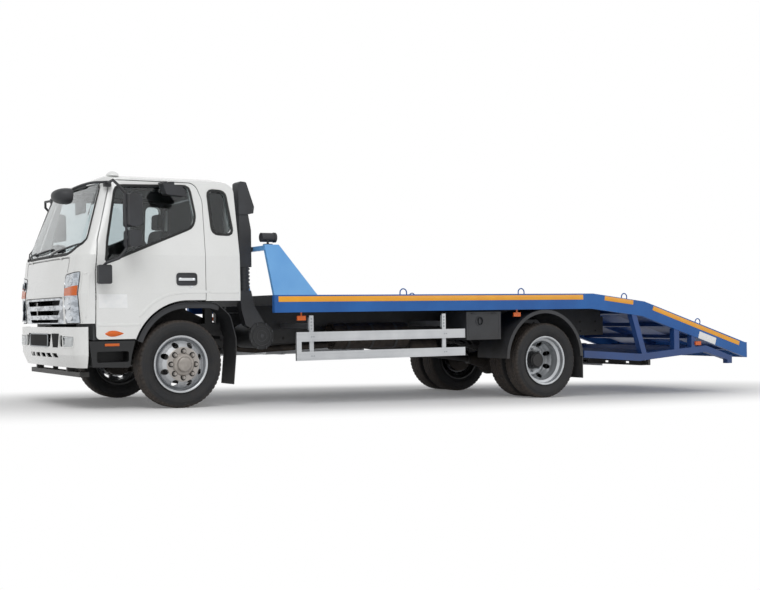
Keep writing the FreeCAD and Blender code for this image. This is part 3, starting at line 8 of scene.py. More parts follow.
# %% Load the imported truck
import math
import bmesh
import bpy
import numpy as np
from mathutils import Matrix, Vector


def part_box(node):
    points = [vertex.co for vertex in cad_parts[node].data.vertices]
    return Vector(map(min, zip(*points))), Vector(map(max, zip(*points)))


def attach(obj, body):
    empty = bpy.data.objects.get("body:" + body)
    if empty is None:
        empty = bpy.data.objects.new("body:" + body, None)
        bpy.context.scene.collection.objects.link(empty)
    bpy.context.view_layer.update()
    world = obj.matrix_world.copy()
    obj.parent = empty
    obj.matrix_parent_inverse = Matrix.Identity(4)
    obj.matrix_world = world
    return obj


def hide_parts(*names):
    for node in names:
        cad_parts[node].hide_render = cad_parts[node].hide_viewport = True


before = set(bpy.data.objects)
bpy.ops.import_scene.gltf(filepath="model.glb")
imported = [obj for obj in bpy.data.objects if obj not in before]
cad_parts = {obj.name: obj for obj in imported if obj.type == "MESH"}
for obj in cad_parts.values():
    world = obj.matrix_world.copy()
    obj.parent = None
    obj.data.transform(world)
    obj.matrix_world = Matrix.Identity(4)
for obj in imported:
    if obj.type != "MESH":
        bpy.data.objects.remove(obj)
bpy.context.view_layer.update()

# %% [markdown]
# ## Where things are
# The cab, chassis and platform were drawn level in millimetres, from the front hub, and then tipped
# nose-down as a truck with an empty bed stands. Pieces here are worked out in the same level drawing,
# because a rail or a sill is straight in it, and one function takes them to the parked truck.

# %% From the level drawing to the parked truck
RAKE = math.radians(1.276)
HUB_Z = 0.458
MM = 0.001
SIDES = ((1, "left"), (-1, "right"))
AXLE_X, REAR_X = (sum(corner[0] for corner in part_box(node)) / 2 for node in ("front_wheel_left", "rear_wheel_left"))


def parked(points):
    """Millimetres to metres, a turn by the rake about the front hub, then a shift to the front axle."""
    p = np.asarray(points, float) / 1000
    x, y, z = p[..., 0], p[..., 1], p[..., 2] - HUB_Z
    c, s = math.cos(RAKE), math.sin(RAKE)
    return np.stack([AXLE_X + x * c + z * s, y, HUB_Z - x * s + z * c], -1)


print("front axle stands at x =", round(AXLE_X, 4))

# %% [markdown]
# ## The camera
# A truck looks its best from low down and far off, so that its long side stays straight and its nose shows
# a little. The camera stands thirteen metres to the side and eight ahead, at hip height, behind a 57 mm
# lens. Its matrix is built from the direction it looks in: right, up and backwards are its columns.

# %% Camera
YAW, PITCH, ROLL = -0.5104, 0.0166, -0.0052  # radians, from a level view along -Y
STAND = (8.0458, 12.7802, 0.8432)
SENSOR_MM, LENS_MM = 36, 56.638421
SHIFT_X, SHIFT_Y = 0.050842105, 0.0172763158  # shares of the frame's width
FARTHEST = 200

ahead = np.array([math.sin(YAW) * math.cos(PITCH), -math.cos(YAW) * math.cos(PITCH), math.sin(PITCH)])
level_right = np.cross(ahead, (0, 0, 1))
level_down = np.cross(ahead, level_right)
right = math.cos(ROLL) * level_right + math.sin(ROLL) * level_down
down = -math.sin(ROLL) * level_right + math.cos(ROLL) * level_down

lens_data = bpy.data.cameras.new("studio_camera")
lens_data.sensor_width, lens_data.lens = SENSOR_MM, LENS_MM
lens_data.shift_x, lens_data.shift_y = SHIFT_X, SHIFT_Y
lens_data.clip_end = FARTHEST
camera = bpy.data.objects.new("studio_camera", lens_data)
place = np.eye(4)
place[:3] = np.stack([right, -down, -ahead, STAND], -1)
camera.matrix_world = Matrix(place.tolist())
bpy.context.scene.collection.objects.link(camera)
bpy.context.scene.camera = camera
print("camera is", round(float(np.linalg.norm(STAND)), 2), "m from the truck's middle")

# %% [markdown]
# ## One way to add a node
# Finishes are small node trees. Writing each node out takes three lines, so one function makes a node,
# sets its properties and feeds its inputs, either with a number or with another node's output. Colours
# are written as sRGB hex, the way paint cards give them, and turned to the linear values Cycles needs.

# %% Node and colour helpers
def add(tree, kind, inputs=None, **settings):
    """Add a node to the tree, set its properties, and fill or link its inputs."""
    node = tree.nodes.new(kind)
    for key, value in settings.items():
        setattr(node, key, value)
    for socket, value in (inputs or {}).items():
        if isinstance(value, bpy.types.NodeSocket):
            tree.links.new(value, node.inputs[socket])
        else:
            node.inputs[socket].default_value = value
    return node


def shade(code):
    """sRGB hex to linear RGBA: each channel over 255, then the sRGB curve undone."""
    c = np.array([int(code[i:i + 2], 16) for i in (1, 3, 5)]) / 255
    linear = np.where(c <= 0.04045, c / 12.92, ((c + 0.055) / 1.055) ** 2.4)
    return (*linear.tolist(), 1.0)


print("mid grey is", round(shade("#808080")[0], 3), "in linear light")

# %% [markdown]
# ## Floor, sky and lamps
# The truck stands on a pale floor under an even white sky, with one broad lamp high at the front left to
# give the side a direction. Camera, glossy and transmitted rays see the sky as plain white, while the
# light it throws is weaker, so white paint keeps its tone. The floor fades into the same white a few
# metres out, and keeps the truck's shadow near it.

# %% Sky and floor
WHITE, BLACK = (1, 1, 1, 1), (0, 0, 0, 1)
SKY_LIGHT = 0.5  # what the sky throws on things, as a share of how bright it looks
FLOOR_SQUEEZE = (0.35, 1, 1)  # the fade lies about three times as far off along the truck as beside it
FADE_FROM, FADE_TO, FADE_LEAST = 1.55, 3.3, 0.12
FLOOR_HALF = 60


def looked_at(tree):
    """1 on rays that the camera sees by, straight or by way of gloss or glass; 0 on those that carry light."""
    rays = add(tree, "ShaderNodeLightPath").outputs
    seen = add(tree, "ShaderNodeMath", {0: rays["Is Camera Ray"], 1: rays["Is Glossy Ray"]}, operation="MAXIMUM")
    return add(tree, "ShaderNodeMath", {0: seen.outputs[0], 1: rays["Is Transmission Ray"]},
               operation="MAXIMUM").outputs[0]


sky = bpy.data.worlds.new("studio_sky")
bpy.context.scene.world = sky
sky.use_nodes = True
tree = sky.node_tree
tree.nodes.clear()
strength = add(tree, "ShaderNodeMapRange", {"Value": looked_at(tree), "To Min": SKY_LIGHT, "To Max": 1.0})
backdrop = add(tree, "ShaderNodeBackground", {"Color": WHITE, "Strength": strength.outputs[0]})
add(tree, "ShaderNodeOutputWorld", {"Surface": backdrop.outputs[0]})

floor_finish = bpy.data.materials.new("studio_floor_matt_white")
floor_finish.use_nodes = True
tree = floor_finish.node_tree
tree.nodes.clear()
where = add(tree, "ShaderNodeTexCoord").outputs["Object"]
squeezed = add(tree, "ShaderNodeMapping", {"Vector": where, "Scale": FLOOR_SQUEEZE})
reach = add(tree, "ShaderNodeVectorMath", {0: squeezed.outputs[0]}, operation="LENGTH")
fade = add(tree, "ShaderNodeMapRange", {"Value": reach.outputs["Value"], "From Min": FADE_FROM, "From Max": FADE_TO,
                                        "To Min": FADE_LEAST, "To Max": 1.0}, interpolation_type="SMOOTHSTEP")
fade = add(tree, "ShaderNodeMath", {0: fade.outputs[0], 1: looked_at(tree)}, operation="MULTIPLY")
matt = add(tree, "ShaderNodeBsdfDiffuse", {"Color": shade("#F8F8F8")})
white = add(tree, "ShaderNodeEmission", {"Color": WHITE, "Strength": 1.0})
mixed = add(tree, "ShaderNodeMixShader", {0: fade.outputs[0], 1: matt.outputs[0], 2: white.outputs[0]})
add(tree, "ShaderNodeOutputMaterial", {"Surface": mixed.outputs[0]})

floor_mesh = bpy.data.meshes.new("studio_floor")
floor_mesh.from_pydata([(x, y, 0) for x in (-FLOOR_HALF, FLOOR_HALF) for y in (-FLOOR_HALF, FLOOR_HALF)], [],
                       [(0, 2, 3, 1)])
floor_mesh.materials.append(floor_finish)
floor = bpy.data.objects.new("studio_floor", floor_mesh)
bpy.context.scene.collection.objects.link(floor)
bpy.context.scene.view_settings.view_transform = "Standard"
print("floor fades between", FADE_FROM, "and", FADE_TO, "m beside the truck")


# %% Studio lamps
def softbox(name, spot, aim, size, watts):
    """Square area lamp at spot, its face turned to aim."""
    lamp = bpy.data.lights.new(name, "AREA")
    lamp.size, lamp.energy = size, watts
    holder = bpy.data.objects.new(name, lamp)
    back = np.subtract(spot, aim) / np.linalg.norm(np.subtract(spot, aim))
    side = np.cross((0, 0, 1), back)
    side /= np.linalg.norm(side)
    turn = np.eye(4)
    turn[:3, 0], turn[:3, 1], turn[:3, 2], turn[:3, 3] = side, np.cross(back, side), back, spot
    holder.matrix_world = Matrix(turn.tolist())
    bpy.context.scene.collection.objects.link(holder)


softbox("key_lamp", (7.0, 8.0, 9.0), (0.5, 0, 1), 6.0, 420)
softbox("fill_lamp", (-8.0, 9.0, 5.0), (-1, 0, 1), 7.0, 120)

# %% [markdown]
# ## Surfaces from grids
# Every added piece is one or more grids of points, rows by columns. A direction may close on itself,
# as round a tyre. Building points as whole arrays keeps a piece a formula, and one function turns grids
# into a mesh: it joins them, merges points that fall on each other, such as a pole, and turns the faces
# outwards.

# %% Mesh helpers
def shell(points, ring_rows=False, ring_columns=True):
    """A grid or a stack of like grids, shape (..., rows, columns, 3), with which directions close."""
    p = np.asarray(points, float)
    return p.reshape((-1,) + p.shape[-3:]), ring_rows, ring_columns


def make(name, shells, look, body, crease=35, stands_for=()):
    """One mesh piece in metres from several shells: four-sided faces between neighbouring rows and columns."""
    spots, faces, start = [], [], 0
    for points, ring_rows, ring_columns in shells:
        n, rows, columns = points.shape[:3]
        i, j = np.meshgrid(np.arange(rows - (not ring_rows)), np.arange(columns - (not ring_columns)),
                           indexing="ij")
        i2, j2 = (i + 1) % rows, (j + 1) % columns
        quad = np.stack([i * columns + j, i * columns + j2, i2 * columns + j2, i2 * columns + j], -1)
        quad = quad.reshape(1, -1, 4) + np.arange(n).reshape(-1, 1, 1) * rows * columns + start
        spots.append(points.reshape(-1, 3))
        faces.append(quad.reshape(-1, 4))
        start += n * rows * columns
    spots, faces = np.concatenate(spots), np.concatenate(faces)
    mesh = bpy.data.meshes.new(name)
    mesh.vertices.add(len(spots))
    mesh.vertices.foreach_set("co", spots.ravel())
    mesh.loops.add(faces.size)
    mesh.loops.foreach_set("vertex_index", faces.ravel().astype(np.int32))
    mesh.polygons.add(len(faces))
    mesh.polygons.foreach_set("loop_start", np.arange(0, faces.size, 4, dtype=np.int32))
    mesh.update(calc_edges=True)
    work = bmesh.new()
    work.from_mesh(mesh)
    bmesh.ops.remove_doubles(work, verts=work.verts, dist=2e-5)
    bmesh.ops.recalc_face_normals(work, faces=work.faces)
    work.to_mesh(mesh)
    work.free()
    mesh.shade_smooth()
    mesh.set_sharp_from_angle(angle=math.radians(crease))
    mesh.materials.append(look)
    piece = bpy.data.objects.new(name, mesh)
    bpy.context.scene.collection.objects.link(piece)
    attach(piece, body)
    if stands_for:
        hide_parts(*stands_for)
    print(f"{name}: {len(mesh.polygons)} faces")
    return piece


# %% [markdown]
# ## Shapes that come up again
# Most trim is a profile carried along a path, or turned about an axle. A carried profile is closed at
# both ends by rows that shrink to the path, the first of them slightly, which breaks the edge as a file
# would. A turned one closes on itself. Small fasteners are one shape set down at many places at once.

# %% Profiles, paths and turned shapes
def corner_profile(width, height, radius, steps=3):
    """Rounded rectangle about the origin: four quarter circles, one after another."""
    a = np.linspace(0, np.pi / 2, steps)
    a = (np.arange(4)[:, None] * np.pi / 2 + a).ravel()
    mid_x = np.repeat([1, -1, -1, 1], steps) * (width / 2 - radius)
    mid_y = np.repeat([1, 1, -1, -1], steps) * (height / 2 - radius)
    return np.stack([mid_x + radius * np.cos(a), mid_y + radius * np.sin(a)], -1)


def round_profile(radius, count=12):
    """Circle of that radius about the origin."""
    a = np.arange(count) * 2 * np.pi / count
    return radius * np.stack([np.cos(a), np.sin(a)], -1)


def carried(profile, path, up=(0, 0, 1), closed=False, edge=None, grow=None):
    """Profile in (side, up) carried along a path; side is square to the path and up; ends drawn in by edge."""
    path = np.asarray(path, float)
    run = np.roll(path, -1, 0) - np.roll(path, 1, 0) if closed else np.gradient(path, axis=0)
    run /= np.linalg.norm(run, axis=1, keepdims=True)
    up = np.broadcast_to(np.asarray(up, float), path.shape)
    side = np.cross(run, up)
    side /= np.linalg.norm(side, axis=1, keepdims=True)
    top = np.cross(side, run)
    size = np.ones(len(path)) if grow is None else np.asarray(grow, float)
    flat = profile[None] * size[:, None, None]
    rows = path[:, None] + flat[..., :1] * side[:, None] + flat[..., 1:] * top[:, None]
    if closed:
        return shell(rows, True, True)
    reach = np.linalg.norm(profile, axis=1).max()
    edge = 0.12 * reach if edge is None else edge
    small = max(0.0, 1 - edge / reach)
    first = path[0] + small * (rows[0] - path[0])
    last = path[-1] + small * (rows[-1] - path[-1])
    rows[0] += run[0] * edge
    rows[-1] -= run[-1] * edge
    poles = [np.broadcast_to(path[i], first.shape) for i in (0, -1)]
    return shell(np.concatenate([[poles[0], first], rows, [last, poles[1]]]))


def smooth_path(corners, radius, steps=5, closed=True):
    """Path through corners, each rounded by a curve that starts and ends at that radius from it."""
    p = np.asarray(corners, float)
    before, after = np.roll(p, 1, 0) - p, np.roll(p, -1, 0) - p
    lengths = [np.linalg.norm(v, axis=1, keepdims=True) for v in (before, after)]
    r = np.broadcast_to(np.asarray(radius, float).reshape(-1, 1), (len(p), 1))
    r = np.minimum(r, 0.45 * np.minimum(*lengths))
    a, b = p + before / lengths[0] * r, p + after / lengths[1] * r
    t = np.linspace(0, 1, steps).reshape(1, -1, 1)
    bends = (1 - t) ** 2 * a[:, None] + 2 * t * (1 - t) * p[:, None] + t ** 2 * b[:, None]
    if closed:
        return bends.reshape(-1, p.shape[1])
    return np.concatenate([p[:1], bends[1:-1].reshape(-1, p.shape[1]), p[-1:]])


def turned(profile, centre, axis=(0, 1, 0), count=48, closed=True):
    """Profile of (along, radius) turned about an axis; each point becomes a ring of count points."""
    axis = np.asarray(axis, float) / np.linalg.norm(axis)
    u = np.cross(axis, (0, 0, 1) if abs(axis[2]) < 0.9 else (1, 0, 0))
    u /= np.linalg.norm(u)
    v = np.cross(axis, u)
    a = np.arange(count) * 2 * np.pi / count
    ring = np.cos(a)[:, None] * u + np.sin(a)[:, None] * v
    profile = np.asarray(profile, float)
    return shell(np.asarray(centre) + profile[:, :1, None] * axis + profile[:, 1:, None] * ring, closed, True)


def block(x, y, z, edge=3.0):
    """Slab between two values on each axis: its plan carried upwards, edges broken all round."""
    size = [abs(v[1] - v[0]) for v in (x, y, z)]
    edge = min(edge, 0.3 * min(size))
    mid = [(v[0] + v[1]) / 2 for v in (x, y, z)]
    path = np.array([[mid[0], mid[1], min(z)], [mid[0], mid[1], max(z)]])
    return carried(corner_profile(size[1], size[0], edge), path, up=(1, 0, 0), edge=edge)


def on_truck(shells):
    """Carry shells from the level drawing, in millimetres, to the parked truck."""
    return [(parked(points), rows, columns) for points, rows, columns in shells]


def mirrored(shells, side=-1):
    """The shells with y times side: their mirror image across the truck's middle for -1, themselves for 1."""
    return [(points * (1, side, 1), rows, columns) for points, rows, columns in shells]


def both(shells):
    """The shells and their mirror images."""
    return shells + mirrored(shells)


def bolts(places, axis, radius=9.0, height=7.0):
    """Hexagon heads on washers at many places at once, all facing along one axis."""
    hexagon = turned([(0, 1.45 * radius), (1.6, 1.45 * radius), (1.6, radius), (height - 1, radius),
                      (height, 0.86 * radius), (height, 0)], (0, 0, 0), axis, 6, False)[0]
    foot = np.repeat(np.mean(hexagon[:, :1], axis=2, keepdims=True), 6, 2)
    hexagon = np.concatenate([foot, hexagon], 1)
    return shell(np.asarray(places, float)[:, None, None] + hexagon[0][None])


# %% [markdown]
# ## Finishes
# A finish is never one flat colour: paint chalks and gathers dust, castings are mottled, plastic scuffs.
# One function gives every finish the same bones. The colour wanders between two close tones over patches
# of a real size, while a grain of a real size breaks up the gloss and lifts the surface a little. What
# makes each material itself, such as brushing, tread dust or a lens pattern, is added to that.

# %% The bones of a finish
def finish(name, light, dark, patch, gloss, grain, lift=0.0, **sockets):
    """Two tones over patches, roughness between the two gloss values and height by lift, sizes in metres."""
    material = bpy.data.materials.new(name)
    material.use_nodes = True
    tree = material.node_tree
    tree.nodes.clear()
    where = add(tree, "ShaderNodeTexCoord").outputs["Object"]
    tone = shade(light)
    if light != dark:
        wide = add(tree, "ShaderNodeTexNoise", {"Vector": where, "Scale": 1 / patch, "Detail": 5.0})
        share = add(tree, "ShaderNodeMapRange", {"Value": wide.outputs[0], "From Min": 0.36, "From Max": 0.66})
        tone = add(tree, "ShaderNodeMix", {0: share.outputs[0], 6: tone, 7: shade(dark)},
                   data_type="RGBA").outputs[2]
    fine = add(tree, "ShaderNodeTexNoise", {"Vector": where, "Scale": 1 / grain, "Detail": 3.0})
    rough = add(tree, "ShaderNodeMapRange", {"Value": fine.outputs[0], "From Min": 0.3, "From Max": 0.7,
                                             "To Min": gloss[0], "To Max": gloss[1]})
    shader = add(tree, "ShaderNodeBsdfPrincipled", {"Base Color": tone, "Roughness": rough.outputs[0], **sockets},
                 name="surface")
    add(tree, "ShaderNodeOutputMaterial", {"Surface": shader.outputs[0]})
    return raised(material, fine.outputs[0], lift) if lift else material


def raised(material, height, distance):
    """Lift the surface by a distance in metres where the height, a node's output, is 1."""
    tree = material.node_tree
    relief = add(tree, "ShaderNodeBump", {"Height": height, "Distance": distance})
    tree.links.new(relief.outputs[0], tree.nodes["surface"].inputs["Normal"])
    return material


def blended(material, code, amount):
    """Lay another colour over the finish by the given amount, a node's output from 0 to 1."""
    tree = material.node_tree
    base = tree.nodes["surface"].inputs["Base Color"]
    under = base.links[0].from_socket if base.is_linked else tuple(base.default_value)
    over = add(tree, "ShaderNodeMix", {0: amount, 6: under, 7: shade(code)}, data_type="RGBA")
    tree.links.new(over.outputs[2], base)
    return material


def painted_reflections(material, code, size, amount):
    """Painted reflections: patches of another colour, of about that size in metres and three times as wide as they
    are high.
    """
    tree = material.node_tree
    where = add(tree, "ShaderNodeTexCoord").outputs["Object"]
    wide = add(tree, "ShaderNodeMapping", {"Vector": where, "Scale": (1, 0.4, 1.2)})
    cloud = add(tree, "ShaderNodeTexNoise", {"Vector": wide.outputs[0], "Scale": 1 / size, "Detail": 2.0})
    share = add(tree, "ShaderNodeMapRange", {"Value": cloud.outputs[0], "From Min": 0.48, "From Max": 0.6,
                                             "To Min": 0.0, "To Max": amount})
    return blended(material, code, share.outputs[0])


def dusted(material, code, low, high, amount):
    """Road dust: it lies thickest at height low, is gone at high, and breaks up in clouds of 0.2 m."""
    tree = material.node_tree
    where = add(tree, "ShaderNodeTexCoord").outputs["Object"]
    height = add(tree, "ShaderNodeSeparateXYZ", {0: where}).outputs["Z"]
    fall = add(tree, "ShaderNodeMapRange", {"Value": height, "From Min": low, "From Max": high,
                                            "To Min": amount, "To Max": 0.0})
    cloud = add(tree, "ShaderNodeTexNoise", {"Vector": where, "Scale": 5.0, "Detail": 6.0})
    patchy = add(tree, "ShaderNodeMath", {0: fall.outputs[0], 1: cloud.outputs[0]}, operation="MULTIPLY")
    twice = add(tree, "ShaderNodeMath", {0: patchy.outputs[0], 1: 1.7}, operation="MULTIPLY", use_clamp=True)
    return blended(material, code, twice.outputs[0])


def off_axle(tree, where, centre):
    """A point seen along y from an axle at (x, z), and its distance from that axle."""
    flat = add(tree, "ShaderNodeMapping", {"Vector": where, "Location": (-centre[0], 0, -centre[1]),
                                           "Scale": (1, 0, 1)}).outputs[0]
    return flat, add(tree, "ShaderNodeVectorMath", {0: flat}, operation="LENGTH").outputs["Value"]


def ringed(material, centre, inner, outer, code, amount=1.0):
    """Another colour near an axle along y: full within the inner radius, gone at the outer one, in metres."""
    tree = material.node_tree
    far = off_axle(tree, add(tree, "ShaderNodeTexCoord").outputs["Object"], centre)[1]
    share = add(tree, "ShaderNodeMapRange", {"Value": far, "From Min": inner, "From Max": outer,
                                             "To Min": amount, "To Max": 0.0})
    return blended(material, code, share.outputs[0])


WHEEL_REACH = 0.6  # what lies further from an axle belongs to the other one


def rimmed(material, centre, inner, outer, code, amount):
    """Dust on a tread: none within the inner radius, the full amount past the outer one, in broken patches,
    and only for the axle at this centre."""
    tree = material.node_tree
    where = add(tree, "ShaderNodeTexCoord").outputs["Object"]
    far = off_axle(tree, where, centre)[1]
    share = add(tree, "ShaderNodeMapRange", {"Value": far, "From Min": inner, "From Max": outer,
                                             "To Min": 0.0, "To Max": amount})
    here = add(tree, "ShaderNodeMath", {0: far, 1: WHEEL_REACH}, operation="LESS_THAN")
    cloud = add(tree, "ShaderNodeTexNoise", {"Vector": where, "Scale": 14.0, "Detail": 5.0})
    patch = add(tree, "ShaderNodeMapRange", {"Value": cloud.outputs[0], "From Min": 0.35, "From Max": 0.6,
                                             "To Min": 0.45, "To Max": 1.0})
    part = add(tree, "ShaderNodeMath", {0: share.outputs[0], 1: here.outputs[0]}, operation="MULTIPLY")
    broken = add(tree, "ShaderNodeMath", {0: part.outputs[0], 1: patch.outputs[0]}, operation="MULTIPLY")
    return blended(material, code, broken.outputs[0])


def dotted(material, centre, circle, turned_by, inner, outer, code):
    """Eight spots round an axle along y take another colour: what lies between two distances from a spot.
    The angle is folded into one eighth of a turn, and the distance is taken in the folded wedge."""
    tree = material.node_tree
    flat, far = off_axle(tree, add(tree, "ShaderNodeTexCoord").outputs["Object"], centre)
    split = add(tree, "ShaderNodeSeparateXYZ", {0: flat}).outputs
    angle = add(tree, "ShaderNodeMath", {0: split["Z"], 1: split["X"]}, operation="ARCTAN2")
    angle = add(tree, "ShaderNodeMath", {0: angle.outputs[0], 1: 2 * math.pi + turned_by}, operation="ADD")
    folded = add(tree, "ShaderNodeMath", {0: angle.outputs[0], 1: math.pi / 8}, operation="PINGPONG")
    aside = add(tree, "ShaderNodeMath", {0: folded.outputs[0], 1: far}, operation="MULTIPLY")
    along = add(tree, "ShaderNodeMath", {0: far, 1: circle}, operation="SUBTRACT")
    both_ways = add(tree, "ShaderNodeCombineXYZ", {"X": aside.outputs[0], "Y": along.outputs[0]})
    off = add(tree, "ShaderNodeVectorMath", {0: both_ways.outputs[0]}, operation="LENGTH").outputs["Value"]
    near = add(tree, "ShaderNodeMath", {0: off, 1: outer}, operation="LESS_THAN")
    clear = add(tree, "ShaderNodeMath", {0: off, 1: inner}, operation="GREATER_THAN")
    share = add(tree, "ShaderNodeMath", {0: near.outputs[0], 1: clear.outputs[0]}, operation="MULTIPLY")
    return blended(material, code, share.outputs[0])


WAIST_Z, ROOF_Z = 1.52, 2.52  # heights between which the cab's sides lean in, and their half widths there
WAIST_HALF, ROOF_HALF = 1.104, 0.896
PILLAR_LEAN, PILLAR_FOOT = 0.36, 4.78  # the windscreen pillar's line: x + lean z = foot


def trimmed(material, code):
    """Inside faces of the doors and sides take another colour: those over 14 mm within the outer skin,
    whose half width falls with height above the waist, and behind the leaning line of the windscreen pillar."""
    tree = material.node_tree
    where = add(tree, "ShaderNodeTexCoord").outputs["Object"]
    split = add(tree, "ShaderNodeSeparateXYZ", {0: where}).outputs
    across = add(tree, "ShaderNodeMath", {0: split["Y"]}, operation="ABSOLUTE")
    skin_y = add(tree, "ShaderNodeMapRange", {"Value": split["Z"], "From Min": WAIST_Z, "From Max": ROOF_Z,
                                              "To Min": WAIST_HALF, "To Max": ROOF_HALF})
    inside = add(tree, "ShaderNodeMath", {0: across.outputs[0], 1: skin_y.outputs[0]}, operation="LESS_THAN")
    lean = add(tree, "ShaderNodeMath", {0: split["Z"], 1: PILLAR_LEAN, 2: split["X"]}, operation="MULTIPLY_ADD")
    behind = add(tree, "ShaderNodeMath", {0: lean.outputs[0], 1: PILLAR_FOOT}, operation="LESS_THAN")
    both_true = add(tree, "ShaderNodeMath", {0: inside.outputs[0], 1: behind.outputs[0]}, operation="MULTIPLY")
    return blended(material, code, both_true.outputs[0])


def inner_shade_and_grime(material, code, reach):
    """Painted shade, with brake dust and road film, on what faces the truck's middle: all that lies within a distance
    across.
    """
    tree = material.node_tree
    where = add(tree, "ShaderNodeTexCoord").outputs["Object"]
    across = add(tree, "ShaderNodeMath", {0: add(tree, "ShaderNodeSeparateXYZ", {0: where}).outputs["Y"]},
                 operation="ABSOLUTE")
    share = add(tree, "ShaderNodeMapRange", {"Value": across.outputs[0], "From Min": reach,
                                             "From Max": reach + 0.04, "To Min": 0.9, "To Max": 0.0})
    return blended(material, code, share.outputs[0])


# %% [markdown]
# ## Paint
# The cab is white polyurethane, sprayed and baked: a thin clear gloss with a faint orange peel. Its tones
# are so close that only the eye's corner sees them. The platform is blue alkyd enamel sprayed over rolled
# steel in a yard, so it is less even, and the headboard's wings are a lighter mix of the same paint.

# %% Paints
def cab_paint(name, trim=None):
    """Sprayed polyurethane: a glassy clear layer over an even white, with orange peel of 4 mm, then dust."""
    paint = finish(name, "#EFF0EF", "#E8E9E7", 0.9, (0.22, 0.32), 0.004, 0.00002,
                   **{"Coat Weight": 0.5, "Coat Roughness": 0.06})
    return dusted(trimmed(paint, trim) if trim else paint, "#B9B4A9", 0.35, 0.95, 0.18)


white_paint = cab_paint("polyurethane_paint_sprayed_white")
# the same paint on doors and sides, with charcoal moulded trim on their inner faces
lined_paint = cab_paint("polyurethane_paint_over_moulded_trim", "#3C3E41")
# sprayed alkyd: deep blue that dulls where hands and straps rub
blue_enamel = dusted(finish("alkyd_enamel_sprayed_blue", "#2668B2", "#1F5AA2", 0.5, (0.36, 0.5), 0.006, 0.00004,
                            **{"Coat Weight": 0.1, "Coat Roughness": 0.2, "Specular IOR Level": 0.3}), "#4E5F7A",
                     0.25, 1.0, 0.2)
# the headboard's wings: a lighter mix with a little more gloss
wing_enamel = finish("alkyd_enamel_sprayed_light_blue", "#74B4EE", "#66A7E6", 0.4, (0.3, 0.42), 0.006, 0.00004,
                     **{"Coat Weight": 0.3, "Coat Roughness": 0.15})
# the same blue on the tail's frame, darker as painted shade because it stays in its own shade, and with more dirt
# gathered on it
shaded_enamel = dusted(finish("alkyd_enamel_brushed_blue_painted_shade", "#18488A", "#133E7C", 0.4, (0.36, 0.5), 0.006, 0.00006,
                              **{"Coat Weight": 0.15, "Coat Roughness": 0.25}), "#3E444E", 0.25, 0.9, 0.3)
# brushed chassis enamel: thick, uneven black that holds dust
black_enamel = dusted(finish("chassis_enamel_brushed_black", "#1C1D1F", "#262729", 0.12, (0.4, 0.62), 0.008,
                             0.00015), "#4A443C", 0.3, 0.95, 0.35)
print("paints:", white_paint.name, blue_enamel.name, wing_enamel.name, black_enamel.name)

# %% [markdown]
# ## Chequer plate
# The deck is rolled plate with small lentils pressed up in it, which lean left and right by turns. A grid
# of square cells gives each lentil its place, a checker turns every second one, and the lentil itself is
# all that lies near the cell's middle, where a step across the diagonal counts for more than one along it.
# The real ones would hardly show from this far, so grid and height are drawn larger than the usual 28 mm
# and 2 mm.

# %% Chequer plate
# the same enamel over the plate: lentils about 32 mm long and 10 mm wide at the foot
LENTIL_GRID, LENTIL_HEIGHT = 0.034, 0.004
LENTIL_LONG, LENTIL_SHORT = 1.5, 5.0  # how fast the distance from a lentil's middle grows along and across it
deck_enamel = dusted(finish("alkyd_enamel_on_chequer_plate", "#2061B3", "#1A54A2", 0.5, (0.34, 0.5), 0.006,
                            **{"Coat Weight": 0.15, "Coat Roughness": 0.3}), "#4E5F7A", 0.25, 1.0, 0.2)
tree = deck_enamel.node_tree
where = add(tree, "ShaderNodeTexCoord").outputs["Object"]
cells = add(tree, "ShaderNodeVectorMath", {0: where, 1: (1 / LENTIL_GRID,) * 3}, operation="MULTIPLY")
share = add(tree, "ShaderNodeVectorMath", {0: cells.outputs[0]}, operation="FRACTION")
split = add(tree, "ShaderNodeSeparateXYZ", {0: share.outputs[0]}).outputs
board = add(tree, "ShaderNodeTexChecker", {"Vector": cells.outputs[0], "Scale": 1.0, "Color1": WHITE,
                                           "Color2": BLACK}).outputs["Fac"]
total = add(tree, "ShaderNodeMath", {0: split["X"], 1: split["Y"]}, operation="ADD")
total = add(tree, "ShaderNodeMath", {0: total.outputs[0], 1: 1.0}, operation="SUBTRACT")
apart = add(tree, "ShaderNodeMath", {0: split["X"], 1: split["Y"]}, operation="SUBTRACT")
long_way = add(tree, "ShaderNodeMix", {0: board, 2: total.outputs[0], 3: apart.outputs[0]}, data_type="FLOAT")
short_way = add(tree, "ShaderNodeMix", {0: board, 2: apart.outputs[0], 3: total.outputs[0]}, data_type="FLOAT")
long_part = add(tree, "ShaderNodeMath", {0: long_way.outputs[0], 1: LENTIL_LONG}, operation="MULTIPLY")
short_part = add(tree, "ShaderNodeMath", {0: short_way.outputs[0], 1: LENTIL_SHORT}, operation="MULTIPLY")
both_parts = add(tree, "ShaderNodeCombineXYZ", {"X": long_part.outputs[0], "Y": short_part.outputs[0]})
off = add(tree, "ShaderNodeVectorMath", {0: both_parts.outputs[0]}, operation="LENGTH")
lentil = add(tree, "ShaderNodeMapRange", {"Value": off.outputs["Value"], "From Min": 0.55, "From Max": 1.0,
                                          "To Min": 1.0, "To Max": 0.0}, interpolation_type="SMOOTHSTEP")
deck_enamel = raised(deck_enamel, lentil.outputs[0], LENTIL_HEIGHT)
print("lentils in a square metre of deck:", round(1 / LENTIL_GRID ** 2))

# %% [markdown]
# ## Metals
# Rims, guards and castings differ by how they were worked. The rims are pressed steel under silver lacquer,
# and brake dust and oil settle on their faces and round their nuts. An extruded guard rail is anodised, pale
# and matt. Cast iron is dark and pitted, and the exhaust has gone brown with heat.

# %% Metals
polished = {"Metallic": 1.0}
# polished aluminium rings round the lamp bowls: bright and even
rim_alloy = finish("aluminium_forged_polished", "#C6C8CB", "#BDC0C3", 0.12, (0.24, 0.34), 0.003, 0.00002,
                   **polished)
